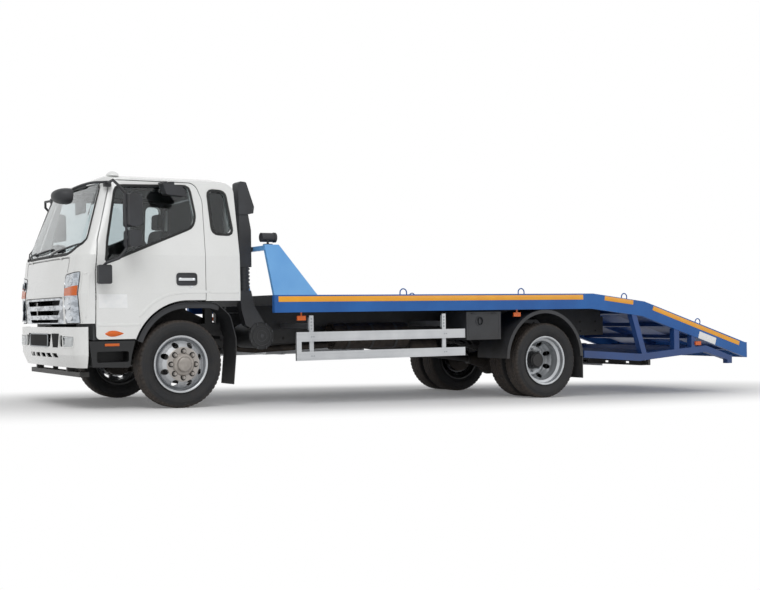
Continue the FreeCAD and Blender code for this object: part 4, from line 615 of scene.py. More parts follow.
# pressed steel under silver lacquer, its nut face dulled by brake dust, a dark ring round each nut, painted shade on
# the drum behind each hand hole, and painted shade with brake dust on its inner faces
rim_front = finish("steel_rim_lacquered_brake_dusted_painted_shade", "#C9CBCE", "#BFC2C5", 0.12, (0.3, 0.4), 0.003, 0.00002,
                   Metallic=0.55)
FRONT_HUB, REAR_HUB = (AXLE_X, HUB_Z), (REAR_X, HUB_Z)
NUT_CIRCLE, HOLE_CIRCLE, HALF_STEP = 0.1375, 0.209, math.pi / 8
EVERYWHERE = -1.0  # an inner limit that no distance falls under
rim_front = ringed(rim_front, FRONT_HUB, 0.176, 0.186, "#A39D97", 0.9)
# a dark ring round each nut
rim_front = dotted(rim_front, FRONT_HUB, NUT_CIRCLE, 0.0, 0.0175, 0.031, "#1C1B1A")
# painted shade: near black on the drum seen through each hand hole, and on the hole's walls
rim_front = dotted(rim_front, FRONT_HUB, HOLE_CIRCLE, HALF_STEP, EVERYWHERE, 0.0312, "#0C0C0D")
# painted shade, with brake dust, on the faces turned to the truck's middle
rim_front = inner_shade_and_grime(rim_front, "#1A1918", 0.93)
# the front hub's cover: the dusty tone of the nut face, with a soft shine
hub_cast = finish("aluminium_die_cast_brake_dusted", "#A6A09A", "#98928C", 0.05, (0.4, 0.52), 0.003, 0.00005,
                  Metallic=0.5)
# the rear rims: the same lacquer, duller, darker round the hub, with painted shade on their inner faces
rim_steel = finish("steel_rim_silver_lacquered", "#C4C7CA", "#B4B7BA", 0.12, (0.3, 0.42), 0.005, 0.00004,
                   Metallic=0.75)
# darker round the hub, and painted shade with brake dust on the faces turned to the truck's middle
rim_steel = inner_shade_and_grime(ringed(rim_steel, REAR_HUB, 0.1, 0.15, "#232120", 0.95), "#1D1B1A", 0.86)
# sand-cast iron: dark, pitted every few millimetres, with an oily film
cast_iron = dusted(finish("iron_sand_cast_oiled", "#2A2827", "#1D1C1C", 0.06, (0.45, 0.75), 0.004, 0.0004,
                          Metallic=0.4), "#4B4034", 0.2, 0.8, 0.4)
# anodised extrusion: pale and matt
guard_alloy = finish("aluminium_extruded_anodised", "#C2C4C6", "#B5B7BA", 0.3, (0.34, 0.46), 0.004, 0.00003,
                     Metallic=0.85)
# zinc-plated fasteners and brackets: cool, faintly spangled
zinc = finish("steel_zinc_plated", "#A9ADB0", "#8C9195", 0.01, (0.35, 0.5), 0.003, 0.00005, Metallic=0.9)
# chromed plastic: a hard mirror over a moulding
chrome = finish("abs_chrome_plated", "#D5D8DB", "#C6CACE", 0.2, (0.05, 0.1), 0.01, 0.00001, **polished)
# the grille: the same plating, with painted reflections of each other's bars, the road and the dark duct, in broken
# dark patches
grille_chrome = painted_reflections(finish("abs_chrome_plated_grille", "#C9CDD2", "#AEB3B9", 0.1, (0.12, 0.2), 0.006, 0.0002,
                                **polished), "#5A5E63", 0.06, 0.75)
# mild steel exhaust: heat-browned, with rust blooms
exhaust_steel = finish("mild_steel_exhaust_heat_browned", "#3E3630", "#2A2522", 0.08, (0.5, 0.8), 0.004, 0.0003,
                       Metallic=0.5)
# drawn wire rope and the winch drum's worn steel
worn_steel = finish("steel_machined_worn", "#8A8C8E", "#5E6062", 0.03, (0.35, 0.55), 0.003, 0.0001, Metallic=0.9)
print("metals ready")

# %% [markdown]
# ## Plastics, rubber, glass and cloth
# Black moulded polypropylene greys where the sun and brushes reach it. Tyre rubber is matt black and
# browner on the tread, where road dust stays. Window glass is clear with a faint cool cast, and lamp
# covers are clear or dyed polycarbonate.

# %% Plastics, rubber and cloth
# moulded polypropylene: fine spark-eroded grain, greyed in patches
black_plastic = dusted(finish("polypropylene_moulded_black", "#26272A", "#303236", 0.25, (0.45, 0.6), 0.0025,
                              0.00012), "#55504A", 0.3, 0.9, 0.25)
# steps and air filter: the same plastic, darker and duller because it lies in shade
step_plastic = finish("polypropylene_moulded_black_shaded", "#161719", "#1D1E20", 0.2, (0.5, 0.65), 0.0025, 0.00012)
# moulded grey ABS inside the cab
grey_plastic = finish("abs_moulded_grey", "#5C5E60", "#505254", 0.3, (0.5, 0.65), 0.003, 0.0001)
# extruded seal: dull, soft black
seal_rubber = finish("epdm_rubber_extruded", "#141516", "#1B1C1D", 0.1, (0.6, 0.75), 0.003, 0.0001)
# moulded tyre: matt black, with a brown bloom of dust on the tread, which thins out over the shoulder
tyre_rubber = finish("tyre_rubber_moulded", "#1E1F22", "#262525", 0.09, (0.66, 0.84), 0.004, 0.0003)
for hub in (FRONT_HUB, REAR_HUB):
    tyre_rubber = rimmed(tyre_rubber, hub, 0.425, 0.452, "#5B4E43", 0.4)
# steering wheel: moulded polyurethane skin
wheel_skin = finish("polyurethane_moulded_skin", "#1D1D1E", "#242425", 0.1, (0.4, 0.5), 0.0015, 0.0001)
# woven polyester: its threads, 1.2 mm apart, are drawn as a grain of 3 mm so that it shows
seat_cloth = finish("polyester_cloth_woven", "#34363B", "#2B2C31", 0.15, (0.85, 0.95), 0.003, 0.0005,
                    **{"Sheen Weight": 0.3})
# pressed felt on the cab's roof and rear wall: dark, dead matt
lining_felt = finish("polyester_felt_pressed", "#3A3C40", "#323438", 0.1, (0.85, 0.95), 0.002, 0.0003)
print("plastics ready")


# %% Glass and lenses
def lens(name, code, rough, pitch=0.006, lift=0.0004, **sockets):
    """Cover of one colour, with slanting flutes of that pitch in metres on its inside."""
    material = finish(name, code, code, 0.2, (rough, rough + 0.04), 0.01, **sockets)
    tree = material.node_tree
    where = add(tree, "ShaderNodeTexCoord").outputs["Object"]
    flute = add(tree, "ShaderNodeTexWave", {"Vector": where, "Scale": 1 / pitch / 3.14, "Distortion": 0.0},
                bands_direction="DIAGONAL")
    return raised(material, flute.outputs["Fac"], lift)


def cover(through):
    """Sockets of polycarbonate that lets that share of the light through."""
    return {"Transmission Weight": through, "IOR": 1.49}


# toughened glass: clear, with a faint cool cast
window_glass = finish("glass_toughened_float", "#DDE4E5", "#D6DEE0", 1.0, (0.0, 0.02), 0.5, 0.00001,
                      **{"Transmission Weight": 1.0, "IOR": 1.45})
# dyed polycarbonate: saturated and glossy
amber_lens = lens("polycarbonate_moulded_amber", "#F4700E", 0.12, **cover(0.25))
red_lens = lens("polycarbonate_moulded_red", "#C3140F", 0.12, **cover(0.25))
clear_lens = lens("polycarbonate_moulded_clear", "#E8ECEE", 0.05, **cover(0.55))
# the lamp's inner shell: grey plated plastic, its cover's gloss laid over it as a coat, with dark patches of painted
# reflection
lamp_shell = painted_reflections(lens("polycarbonate_over_plated_shell", "#B9C0C8", 0.08, 0.009, 0.0012,
                           **{"Metallic": 0.8, "Coat Weight": 1.0}), "#6A7179", 0.045, 0.55)
# silvered glass: a mirror, a little cooler than what it shows
mirror_glass = finish("glass_silvered", "#DDE2E4", "#D5DADC", 0.5, (0.02, 0.05), 0.2, 0.00001, **polished)
# prismatic film: amber, with a grain of 4 mm for the cells that catch the light
amber_film = finish("reflective_film_amber", "#FBAE08", "#F4A404", 0.25, (0.3, 0.4), 0.004, 0.0001,
                    **{"Coat Weight": 0.4})
# the bumper's air slots and its plate: deep black, because little light gets in behind them
duct_black = finish("polypropylene_deep_black_painted_shade", "#050506", "#0A0B0C", 0.1, (0.6, 0.75), 0.003, 0.0001,
                    **{"Specular IOR Level": 0.15})
# printed vinyl, left blank: flat and bright
label_white = finish("vinyl_label_matt_white", "#FBFCFC", "#F4F6F7", 0.05, (0.45, 0.55), 0.002, 0.00002)
print("glass and lenses ready")

# %% [markdown]
# ## Finishes on the solids
# Each solid that stays in view takes the finish of the real part. One table keeps this in a place where
# it can be read at a glance.

# %% Finishes on the solids
solid_finishes = {
    white_paint: "cab_rear_wall cab_roof cab_front front_lid front_bumper",
    lined_paint: "cab_sides door_left door_right",
    deck_enamel: "bed_deck",
    blue_enamel: "bed_rails tie_downs",
    shaded_enamel: "tail_frame ramp_pockets",
    wing_enamel: "headboard",
    black_enamel: "bed_frame frame_rails leaf_springs propeller_shaft front_beam underrun_beam",
    cast_iron: "engine_block front_axle knuckle_left knuckle_right rear_axle",
    step_plastic: "step_boxes air_filter",
    black_plastic: "intake_snorkel toolbox front_mudguards rear_mudguards work_lamps "
                   "front_mirror mirror_left mirror_right",
    grey_plastic: "cab_floor dashboard",
    wheel_skin: "steering_wheel",
    guard_alloy: "side_guards fuel_tank ramp_left ramp_right",
    rim_front: "front_wheel_left front_wheel_right",
    rim_steel: "rear_wheel_left rear_wheel_right",
    exhaust_steel: "silencer",
    worn_steel: "winch",
    grille_chrome: "grille",
    lamp_shell: "headlamps",
    amber_lens: "marker_lamps",
    window_glass: "cab_glass door_glass_left door_glass_right",
    seat_cloth: "seats",
    tyre_rubber: "front_tyre_left front_tyre_right rear_tyres_left rear_tyres_right",
}
for look, names in solid_finishes.items():
    for node in names.split():
        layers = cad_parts[node].data.materials
        layers.clear()
        layers.append(look)
print("solids finished:", sum(len(v.split()) for v in solid_finishes.values()), "of", len(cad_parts))

# %% [markdown]
# ## Laying trim on a panel
# Seals, lamps and tape follow panels that curve. Their outlines are drawn flat, in the level drawing's
# side or front view, and then pushed along one axis until they meet the outermost triangle of the panel.
# Every point is tested against every triangle at once, as arrays.

# %% Draping
def skin(*nodes):
    """Triangles of some solids in one array of shape (count, 3 corners, 3)."""
    found = []
    for node in nodes:
        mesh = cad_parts[node].data
        mesh.calc_loop_triangles()
        spots = np.empty(len(mesh.vertices) * 3)
        corners = np.empty(len(mesh.loop_triangles) * 3, np.int32)
        mesh.vertices.foreach_get("co", spots)
        mesh.loop_triangles.foreach_get("vertices", corners)
        found.append(spots.reshape(-1, 3)[corners].reshape(-1, 3, 3))
    return np.concatenate(found)


def draped(points, triangles, along=1, lift=0.0):
    """Points moved along an axis onto the outermost triangle that covers them, plus a lift in metres.

    A triangle covers a point when the point's two area shares u and v, seen along the axis, are positive
    and add up to less than one; the surface is then the corner plus u and v times the two edges."""
    p = np.array(points, float)
    flat = p.reshape(-1, 3)
    i, j = [k for k in range(3) if k != along]
    near = np.all([(triangles[..., k].max(1) > flat[:, k].min() - 0.01)
                   & (triangles[..., k].min(1) < flat[:, k].max() + 0.01) for k in (i, j)], axis=0)
    a, e, f = triangles[near, 0], triangles[near, 1] - triangles[near, 0], triangles[near, 2] - triangles[near, 0]
    area = e[:, i] * f[:, j] - f[:, i] * e[:, j]
    a, e, f, area = (v[np.abs(area) > 1e-10] for v in (a, e, f, area))
    dx, dy = flat[:, None, i] - a[None, :, i], flat[:, None, j] - a[None, :, j]
    u = (dx * f[:, j] - dy * f[:, i]) / area
    v = (dy * e[:, i] - dx * e[:, j]) / area
    inside = (u > -1e-5) & (v > -1e-5) & (u + v < 1 + 1e-5)
    reach = np.where(inside, a[:, along] + u * e[:, along] + v * f[:, along], -99).max(1)
    met = reach > -90
    order = np.arange(len(flat))
    flat[:, along] = np.interp(order, order[met], reach[met]) + lift
    return flat.reshape(p.shape)


def evened(path, gap, closed=True):
    """The path with points about that far apart: its length is shared out and each run is interpolated."""
    p = np.asarray(path, float)
    p = np.concatenate([p, p[:1]]) if closed else p
    far = np.concatenate([[0], np.cumsum(np.linalg.norm(np.diff(p, axis=0), axis=1))])
    count = max(3, int(far[-1] / gap))
    t = np.linspace(0, far[-1], count, endpoint=not closed)
    return np.stack([np.interp(t, far, p[:, k]) for k in range(3)], -1)


NOSE_X = SIDE_Y = 1100  # where a line is drawn before it is pushed onto the nose or a side


def side_line(outline, radius=0, gap=45, closed=True):
    """Outline in (x, z) of the level side view, corners rounded, evened out and taken to the parked truck."""
    path = [(x, SIDE_Y, z) for x, z in outline]
    return parked(evened(smooth_path(path, radius, closed=closed), gap, closed))


def front_line(outline, radius=0, gap=45, closed=True):
    """Outline in (y, z) of the level front view, treated like side_line."""
    path = [(NOSE_X, y, z) for y, z in outline]
    return parked(evened(smooth_path(path, radius, closed=closed), gap, closed))


def sheet_on(outline_top, outline_low, count, rows=8):
    """Grid between an upper and a lower line, count points long and rows deep, both lines evened."""
    t, s = np.linspace(0, 1, count), np.linspace(0, 1, rows)
    lines = []
    for line in (outline_top, outline_low):
        line = np.asarray(line, float)
        far = np.concatenate([[0], np.cumsum(np.linalg.norm(np.diff(line, axis=0), axis=1))])
        lines.append(np.stack([np.interp(t * far[-1], far, line[:, k]) for k in range(3)], -1))
    return lines[0] + s[:, None, None] * (lines[1] - lines[0])


def thick(grid, offset, rim=0.001):
    """Closed slab from a grid: its face pushed out by offset, and its back shut by a fan from the grid's edge to
    its middle, with a first ring that share of the way in."""
    g = np.asarray(grid, float)
    centre = g.mean((0, 1))
    edge = np.concatenate([g[0], g[1:, -1], g[-1, -2::-1], g[-2:0:-1, 0]])
    top = g + np.asarray(offset)
    lip = np.concatenate([top[0], top[1:, -1], top[-1, -2::-1], top[-2:0:-1, 0]])
    inner = edge * (1 - rim) + centre * rim
    wall = np.stack([edge, lip])
    back = np.stack([edge, inner, np.broadcast_to(centre, edge.shape)])
    return [shell(top, False, False), shell(wall, False, True), shell(back, False, True)]


cab_skin = skin("cab_front", "cab_sides", "cab_roof", "front_lid")
door_skin = skin("door_left")
print("cab panels:", len(cab_skin), "triangles; door:", len(door_skin))

# %% [markdown]
# ## Tyres
# A truck tyre is a turned shape with a pattern pressed into it. The profile runs from bead over sidewall
# and shoulder to the tread and back inside the casing. Four grooves run round the tread, the middle two
# with a slight zigzag, and short slots are cut across each shoulder, 56 to a turn. Grooves and slots are
# simply taken off the radius, as functions of the place along the axle and of the angle, so that one grid
# gives the whole tyre.

# %% Tyres
FRONT_TYRE_Y, REAR_TYRES_Y = 0.988, (1.082, 0.764)
SHOULDER_RADIUS, CROWN_RADIUS = 440, 458
GROOVES_Y, GROOVE_DEPTH, SLOT_DEPTH, ZIGZAG = (-62, -21, 21, 62), 9, 8, 2.2


def tyre(centre, slots=56, around=336):
    """Radius at (along, angle) = profile radius - groove depth(along) - slot depth(along, angle)."""
    wall = [(91, 288), (94, 300), (95, 306), (92, 309), (97, 318), (106, 335), (114, 348), (119, 357), (119, 360),
            (123, 369), (125.5, 382), (124.5, 396), (125, 399), (122.5, 402), (121, 417), (118.5, 433), (114, 444)]
    tread = np.linspace(-106, 106, 54)
    crown = CROWN_RADIUS - 6.5 * np.maximum(0, (np.abs(tread) - 84) / 22) ** 2
    inner = [(-72, 432), (-80, 430), (-89, 422), (-98, 385), (-98, 365), (-79, 322), (-70, 303), (-70, 298),
             (-76, 292)]
    wall, inner = np.array(wall, float), np.array(inner, float)
    turn = np.concatenate([wall, np.stack([tread[::-1], crown[::-1]], -1), wall[::-1] * (-1, 1), inner,
                           inner[::-1] * (-1, 1)])
    along, radius = turn[:, :1], turn[:, 1:]
    angle = np.arange(around) * 2 * np.pi / around
    outside = radius > SHOULDER_RADIUS
    grooves = sum(np.clip(1.6 - np.abs(along - y) / 4.5, 0, 1) for y in GROOVES_Y) * GROOVE_DEPTH * outside
    tooth = np.abs((angle * slots / (2 * np.pi) + 0.25 * np.sign(along)) % 1 - 0.5)
    notch = np.clip((tooth - 0.36) * 14, 0, 1) * np.clip((np.abs(along) - 74) / 6, 0, 1) * SLOT_DEPTH * outside
    zigzag = ZIGZAG * np.sin(angle * slots) * np.clip(1 - np.abs(np.abs(along) - 21) / 12, 0, 1) * outside
    r = (radius - grooves - notch) / 1000
    a = along / 1000 + zigzag / 1000
    ring = np.stack([r * np.cos(angle), a + 0 * angle, r * np.sin(angle)], -1)
    return shell(np.asarray(centre) + ring, True, True)


for side, word in SIDES:
    make(f"tyre_front_{word}", [tyre((AXLE_X, side * FRONT_TYRE_Y, HUB_Z))], tyre_rubber, f"wheel_front_{word}",
         stands_for=(f"front_tyre_{word}",))
    make(f"tyres_rear_{word}", [tyre((REAR_X, side * y, HUB_Z)) for y in REAR_TYRES_Y], tyre_rubber,
         f"wheels_rear_{word}", stands_for=(f"rear_tyres_{word}",))

# %% [markdown]
# ## Window seals
# Each pane sits in an extruded rubber seal, which shows as a black band round the glass. It is one small
# profile carried round the window's outline and laid on the panel. On the door, the band along the sill
# is wider, because the glass slides down between two lips there.

# %% Window seals
door_window = [(800, 1510), (768, 1740), (640, 2300), (-150, 2325), (-190, 2000), (-150, 1890)]
quarter_window = [(-372, 2285), (-560, 2275), (-608, 1830), (-385, 1838)]
windscreen = [(-760, 1612), (-1010, 1720), (-850, 2340), (850, 2340), (1010, 1720), (760, 1612)]


def grown(outline, by):
    """Outline moved outwards from its middle by a distance."""
    p = np.asarray(outline, float)
    away = p - p.mean(0)
    return p + by * away / np.linalg.norm(away, axis=1, keepdims=True)


lip = corner_profile(0.026, 0.009, 0.003)
door_path = draped(side_line(grown(door_window, 12), (26, 20, 60, 60, 130, 80)), door_skin, 1, 0.001)
seal = carried(lip, door_path, (0, 1, 0), True)
sill = draped(side_line([(792, 1522), (-140, 1884)], 0, 60, False), door_skin, 1, 0.002)
sill = carried(corner_profile(0.014, 0.018, 0.004), sill, (0, 1, 0))
quarter = draped(side_line(grown(quarter_window, 14), (60, 60, 70, 70), 30), cab_skin, 1, 0.001)
quarter = carried(corner_profile(0.03, 0.012, 0.004), quarter, (0, 1, 0), True)
screen = draped(front_line(grown(windscreen, 14), (150, 70, 70, 70, 70, 150), 50), cab_skin, 0, 0.001)
screen = carried(corner_profile(0.032, 0.01, 0.003), screen, (1, 0, 0), True)
for side, word in SIDES:
    make(f"door_seal_{word}", mirrored([seal, sill], side), seal_rubber, f"door_{word}")
make("window_seals", both([quarter]) + [screen], seal_rubber, "cab")

# %% [markdown]
# ## Wipers
# Two arms lie on the glass and park to the same side. Each is a pressed steel arm on a round spindle cap,
# with a thinner blade that bows over the pane and carries a rubber lip. Arm and blade are profiles carried
# along lines that are laid on the windscreen and held a little off it.

# %% Wipers
glass_skin = skin("cab_glass", "cab_front", "front_lid")


def wiper(pivot, elbow, start, end):
    """Arm from pivot to elbow, blade from start to end, in (y, z) of the front view."""
    arm = evened([(NOSE_X, *pivot), (NOSE_X, *elbow)], 30, False)
    blade = evened([(NOSE_X, *start), (NOSE_X, *end)], 30, False)
    t, s = np.linspace(0, 1, len(arm)), np.linspace(0, 1, len(blade))
    arm = draped(parked(arm), glass_skin, 0)
    arm[:, 0] += 0.016 + 0.018 * np.sin(np.pi * t)
    blade = draped(parked(blade), glass_skin, 0)
    spine = blade + np.stack([0.014 + 0.012 * np.sin(np.pi * s), 0 * s, 0 * s], -1)
    rubber = blade + (0.006, 0, 0)
    cap = turned(np.array([(-4, 0), (-4, 17), (10, 17), (17, 12), (19, 0)]) * MM, arm[0], (1, 0, 0.3), 20, False)
    return [carried(corner_profile(0.02, 0.008, 0.002), arm, (1, 0, 0), grow=1.25 - 0.5 * t),
            carried(corner_profile(0.012, 0.01, 0.003), spine, (1, 0, 0), grow=1 - 0.5 * np.abs(2 * s - 1) ** 2),
            carried(corner_profile(0.006, 0.012, 0.001), rubber, (1, 0, 0)), cap]


make("wipers", wiper((-820, 1612), (-540, 1680), (-640, 1660), (120, 1694))
     + wiper((126, 1610), (509, 1672), (300, 1650), (985, 1712)), black_plastic, "cab")

# %% [markdown]
# ## Headlamps
# The lamp unit is tall and bends round the cab's corner. Under its clear cover are a grey plated shell, a
# bright bowl for each bulb and an amber block for the turn signal. Here the shell carries the cover's
# gloss as a coat. It is a thin slab laid on the cab's skin, and the bowls, their rims and the amber block
# stand a few millimetres out of it, so that each catches light of its own.

# %% Headlamps
LAMP_TOP, LAMP_LOW = 1388, 906
AMBER_TOP, AMBER_LOW = 1256, 1180
BULBS = ((852, 1320, 50), (930, 1318, 34), (868, 1098, 62), (905, 985, 66))  # y, z and radius of each bowl
lamp_skin = skin("cab_front", "front_lid", "headlamps", "grille", "cab_sides")


def lamp_grid(z_top, z_low, y_in=758, y_out=1048, lift=0.0, count=22, rows=10):
    """Grid over the lamp between two heights, its sides leaning as the lamp's do."""
    high = front_line([(y_in, z_top), (y_out, z_top + 0.09 * (y_out - y_in))], 0, 20, False)
    low = front_line([(y_in + 0.06 * (1400 - z_low) * (y_in < 800), z_low), (y_out, z_low)], 0, 20, False)
    return draped(sheet_on(high, low, count, rows), lamp_skin, 0, lift)


housing = thick(lamp_grid(LAMP_TOP, LAMP_LOW), (0.004, 0.002, 0))
make("lamp_housings", both(housing), lamp_shell, "cab")
amber = thick(lamp_grid(AMBER_TOP, AMBER_LOW, 762, 1044, 0.003), (0.005, 0.003, 0))
make("lamp_indicators", both(amber), amber_lens, "cab")
lean = np.array([0.95, 0.28, 0.05])
bowls, rims = [], []
for y, z, size in BULBS:
    spot = draped(parked([[(NOSE_X, y, z)], [(NOSE_X, y + 2, z)]]), lamp_skin, 0, 0.009)[0, 0]
    bowls.append(turned(np.array([(-3, 0), (-3, 0.9 * size), (2, size), (3, 0.93 * size), (1, 0.6 * size),
                                  (0, 0.25 * size), (5, 0.22 * size), (7, 0)]) * MM, spot, lean, 40, False))
    rims.append(turned(np.array([(0, size), (5, 1.03 * size), (6, 0.97 * size), (2, 0.92 * size)]) * MM, spot,
                       lean, 40, True))
make("lamp_bowls", both(bowls), chrome, "cab")
make("lamp_rims", both(rims), rim_alloy, "cab")

# %% [markdown]
# ## Seams and folds
# A dark gap runs round each lamp and along the lid's upper and lower edges, and the cab's pressed corner has folds
# beside and above the lamp. A gap is a thin strip of black rubber laid on the panel: painted shade for the dark
# inside the gap. A fold is a broad, low ridge, and most of it lies in the panel, so that only its edges catch light.

# %% Seams and folds
# painted shade: a black strip in the gap round each lamp
lamp_edge = draped(front_line([(752, 1394), (1052, 1420), (1052, 899), (776, 899)], 10, 30), lamp_skin, 0, 0.002)
make("lamp_gaps_painted_shade", both([carried(corner_profile(0.007, 0.006, 0.002), lamp_edge, (1, 0, 0), True)]), seal_rubber,
     "cab")
inner_fold = draped(front_line([(1066, 1396), (1066, 905)], 0, 30, False), lamp_skin, 0, -0.001)
outer_fold = side_line([(972, 1404), (984, 1240), (992, 1082), (1006, 945)], 120, 30, False)
outer_fold = draped(outer_fold, lamp_skin, 1, -0.001)
top_fold = draped(front_line([(1062, 1400), (1100, 1402)], 0, 10, False), lamp_skin, 0, -0.001)
folds = [carried(corner_profile(0.022, 0.009, 0.004), path, up, edge=0.012)
         for path, up in ((inner_fold, (1, 0, 0)), (outer_fold, (0.3, 1, 0)), (top_fold, (1, 0, 0)))]
make("corner_folds", both(folds), white_paint, "cab", crease=70)

# painted shade: a black strip in the gaps along the lid's edges
lid_line = corner_profile(0.006, 0.002, 0.0006)
lid_skin = skin("front_lid")
lid_edges = [[(786, 1420), (809, 1566), (-809, 1566), (-786, 1420)], [(680, 1167), (-680, 1167)]]
seams = [carried(lid_line, draped(front_line(edge, 16, 30, False), lid_skin, 0, 0.0002), (1, 0, 0), edge=0.001)
         for edge in lid_edges]
make("lid_gaps_painted_shade", seams, seal_rubber, "front_lid")

# %% [markdown]
# ## Bumper and plate
# The bumper has an air slot on each side, a blank number plate in a thin frame that covers part of one
# slot, and a clear fog lamp in a soft-edged recess near each end. Each is a thin slab laid on the nose.

# %% Bumper trim
bumper_skin = skin("front_bumper")


def front_patch(outline_top, outline_low, lift, push, count=20, rows=5):
    """Closed slab laid on the nose between two lines in (y, z), pushed out by a distance in metres."""
    high, low = front_line(outline_top, 0, 25, False), front_line(outline_low, 0, 25, False)
    return thick(draped(sheet_on(high, low, count, rows), bumper_skin, 0, lift), (push, 0, 0))


# painted shade: the slots are black slabs on the bumper, for the dark behind its openings
air_slots = front_patch([(350, 794), (585, 794)], [(385, 650), (540, 650)], 0.0005, 0.003, 12)
make("bumper_air_slots", both(air_slots), duct_black, "chassis")
# the blank plate takes the same deep black of painted shade
plate = front_patch([(-470, 782), (215, 782)], [(-470, 660), (215, 660)], 0.004, 0.006)
make("number_plate_blank", plate, duct_black, "chassis")
plate_path = draped(front_line([(-478, 788), (223, 788), (223, 654), (-478, 654)], 14, 40), bumper_skin, 0, 0.008)
make("number_plate_frame", [carried(corner_profile(0.012, 0.012, 0.003), plate_path, (1, 0, 0), True)], zinc,
     "chassis")
fogs = front_patch([(700, 766), (1000, 760)], [(716, 664), (978, 668)], 0.002, 0.007, 16, 6)
make("fog_lamps", both(fogs), clear_lens, "chassis")
fog_path = draped(front_line([(694, 778), (1016, 772), (992, 656), (704, 650)], 34, 24), bumper_skin, 0, 0.001)
make("fog_lamp_frames", both([carried(corner_profile(0.018, 0.012, 0.004), fog_path, (1, 0, 0), True)]),
     white_paint, "chassis")

# %% [markdown]
# ## Side lamps, handles and creases
# The door carries a teardrop repeater lamp, a pull handle in a black dish and pressed creases that stiffen
# the panel: one rises over the wheel arch, one runs along the sill. A crease is a broad, low ridge, laid on
# the panel so that only its edges catch light.

# %% Door lamps and handles
def teardrop(centre, length, height, bulge, triangles, rows=14, columns=36):
    """Drop outline: half height = height / 1.5 (1 - t / 2) times sin(pi t) to the power 0.75, with t from nose
    to tail; it bulges as 1 - share squared."""
    t = np.linspace(0.001, 0.999, columns)
    half = np.sin(np.pi * t) ** 0.75 * (1 - 0.5 * t) * height / 1.5
    s = np.linspace(-1, 1, rows)
    x = centre[0] + (0.5 - t) * length
    z = centre[1] + s[:, None] * half
    flat = np.stack([x + 0 * z, SIDE_Y + 0 * z, z], -1)
    grid = draped(parked(flat), triangles, 1, -0.002)
    grid[..., 1] += (0.004 + bulge * (1 - s[:, None] ** 2)) * np.sin(np.pi * t) ** 0.5
    return [shell(grid, False, False)]


drop = teardrop((722, 790), 200, 60, 0.014, door_skin)
handle_dish = thick(draped(sheet_on(side_line([(42, 1396), (-165, 1396)], 0, 20, False),
                                    side_line([(42, 1288), (-165, 1288)], 0, 20, False), 12, 8), door_skin, 1),
                    (0, 0.004, 0))
dish_path = draped(side_line([(48, 1402), (-171, 1402), (-171, 1282), (48, 1282)], 26, 18), door_skin, 1, 0.003)
dish_rim = carried(corner_profile(0.014, 0.012, 0.004), dish_path, (0, 1, 0), True)
bar_path = draped(side_line([(30, 1340), (-152, 1340)], 0, 16, False), door_skin, 1)
reach = np.sin(np.linspace(0, np.pi, len(bar_path))) ** 0.4
bar_path[:, 1] += 0.006 + 0.016 * reach
bar = carried(corner_profile(0.03, 0.012, 0.004), bar_path, (0, 1, 0))
lock = turned(np.array([(0, 0), (0, 15), (3, 15), (4, 11), (4, 0)]) * MM,
              draped(side_line([(-110, 1262), (-108, 1262)], 0, 1, False), door_skin, 1)[0], (0, 1, 0), 20, False)

rise = [(462, 955), (344, 1080), (182, 1178), (-38, 1209), (-290, 1208)]
ridge = corner_profile(0.03, 0.007, 0.0034)
arch_crease = draped(side_line(rise, 90, 40, False), door_skin, 1, -0.0005)
sill_crease = draped(side_line([(898, 880), (440, 878)], 0, 40, False), door_skin, 1, -0.0005)
creases = [carried(ridge, path, (0, 1, 0), edge=0.01) for path in (arch_crease, sill_crease)]
side_crease = draped(side_line([(-312, 1207), (-655, 1206)], 0, 40, False), cab_skin, 1, -0.0005)
for side, word in SIDES:
    make(f"door_lamp_{word}", mirrored(drop, side), amber_lens, f"door_{word}")
    make(f"door_handle_dish_{word}", mirrored(handle_dish + [dish_rim], side), black_plastic, f"door_{word}")
    make(f"door_handle_{word}", mirrored([bar, lock], side), chrome, f"door_{word}")
    make(f"door_creases_{word}", mirrored(creases, side), white_paint, f"door_{word}", crease=70)
make("cab_creases", both([carried(ridge, side_crease, (0, 1, 0), edge=0.01)]), white_paint, "cab", crease=70)

# %% [markdown]
# ## Platform trim
# Amber reflective tape marks the rails from end to end, in lengths that stop short of each bend. Blank
# white plates sit near the tail's corners, and a small amber reflector in the side of each step box. Each
# strip is a thin slab along the rail, with the film's cells left to its finish.

# %% Tape, plates and reflectors
def strip(corners, y, width, push=1.5):
    """Flat strip along a line in (x, z) of the level side view, on a face at that y."""
    path = evened([(x, y + push / 2, z) for x, z in corners], 60, False)
    return carried(corner_profile(width, push, 0.4), path, (0, 1, 0), edge=0.6)


RAIL_Y = 1250
tapes = [strip([(-1062, 1126), (-5290, 1126)], RAIL_Y, 60), strip([(-5642, 1111), (-6118, 1053)], RAIL_Y, 56),
         strip([(-6456, 978), (-8016, 486)], RAIL_Y, 56)]
make("reflective_tape", both(on_truck(tapes)), amber_film, "chassis")
boards = [strip([(-7266, 618), (-7572, 522)], RAIL_Y, 92, 2.5)]
make("blank_plates", both(on_truck(boards)), label_white, "chassis")
steps = [block((670, 822), (1105, 1110), (664, 690), 2)]
make("step_reflectors", both(on_truck(steps)), amber_lens, "chassis")

# %% [markdown]
# ## Mirrors, dome and label
# The blind-spot mirror ahead of the windscreen is a deep oval shell with its glass in its flat back, on a
# bent steel tube. It stands in for the plain solid. The other mirrors only need their glass and a rim round
# it. On the roof is a small round aerial dome, and on the left door a blank vinyl label.

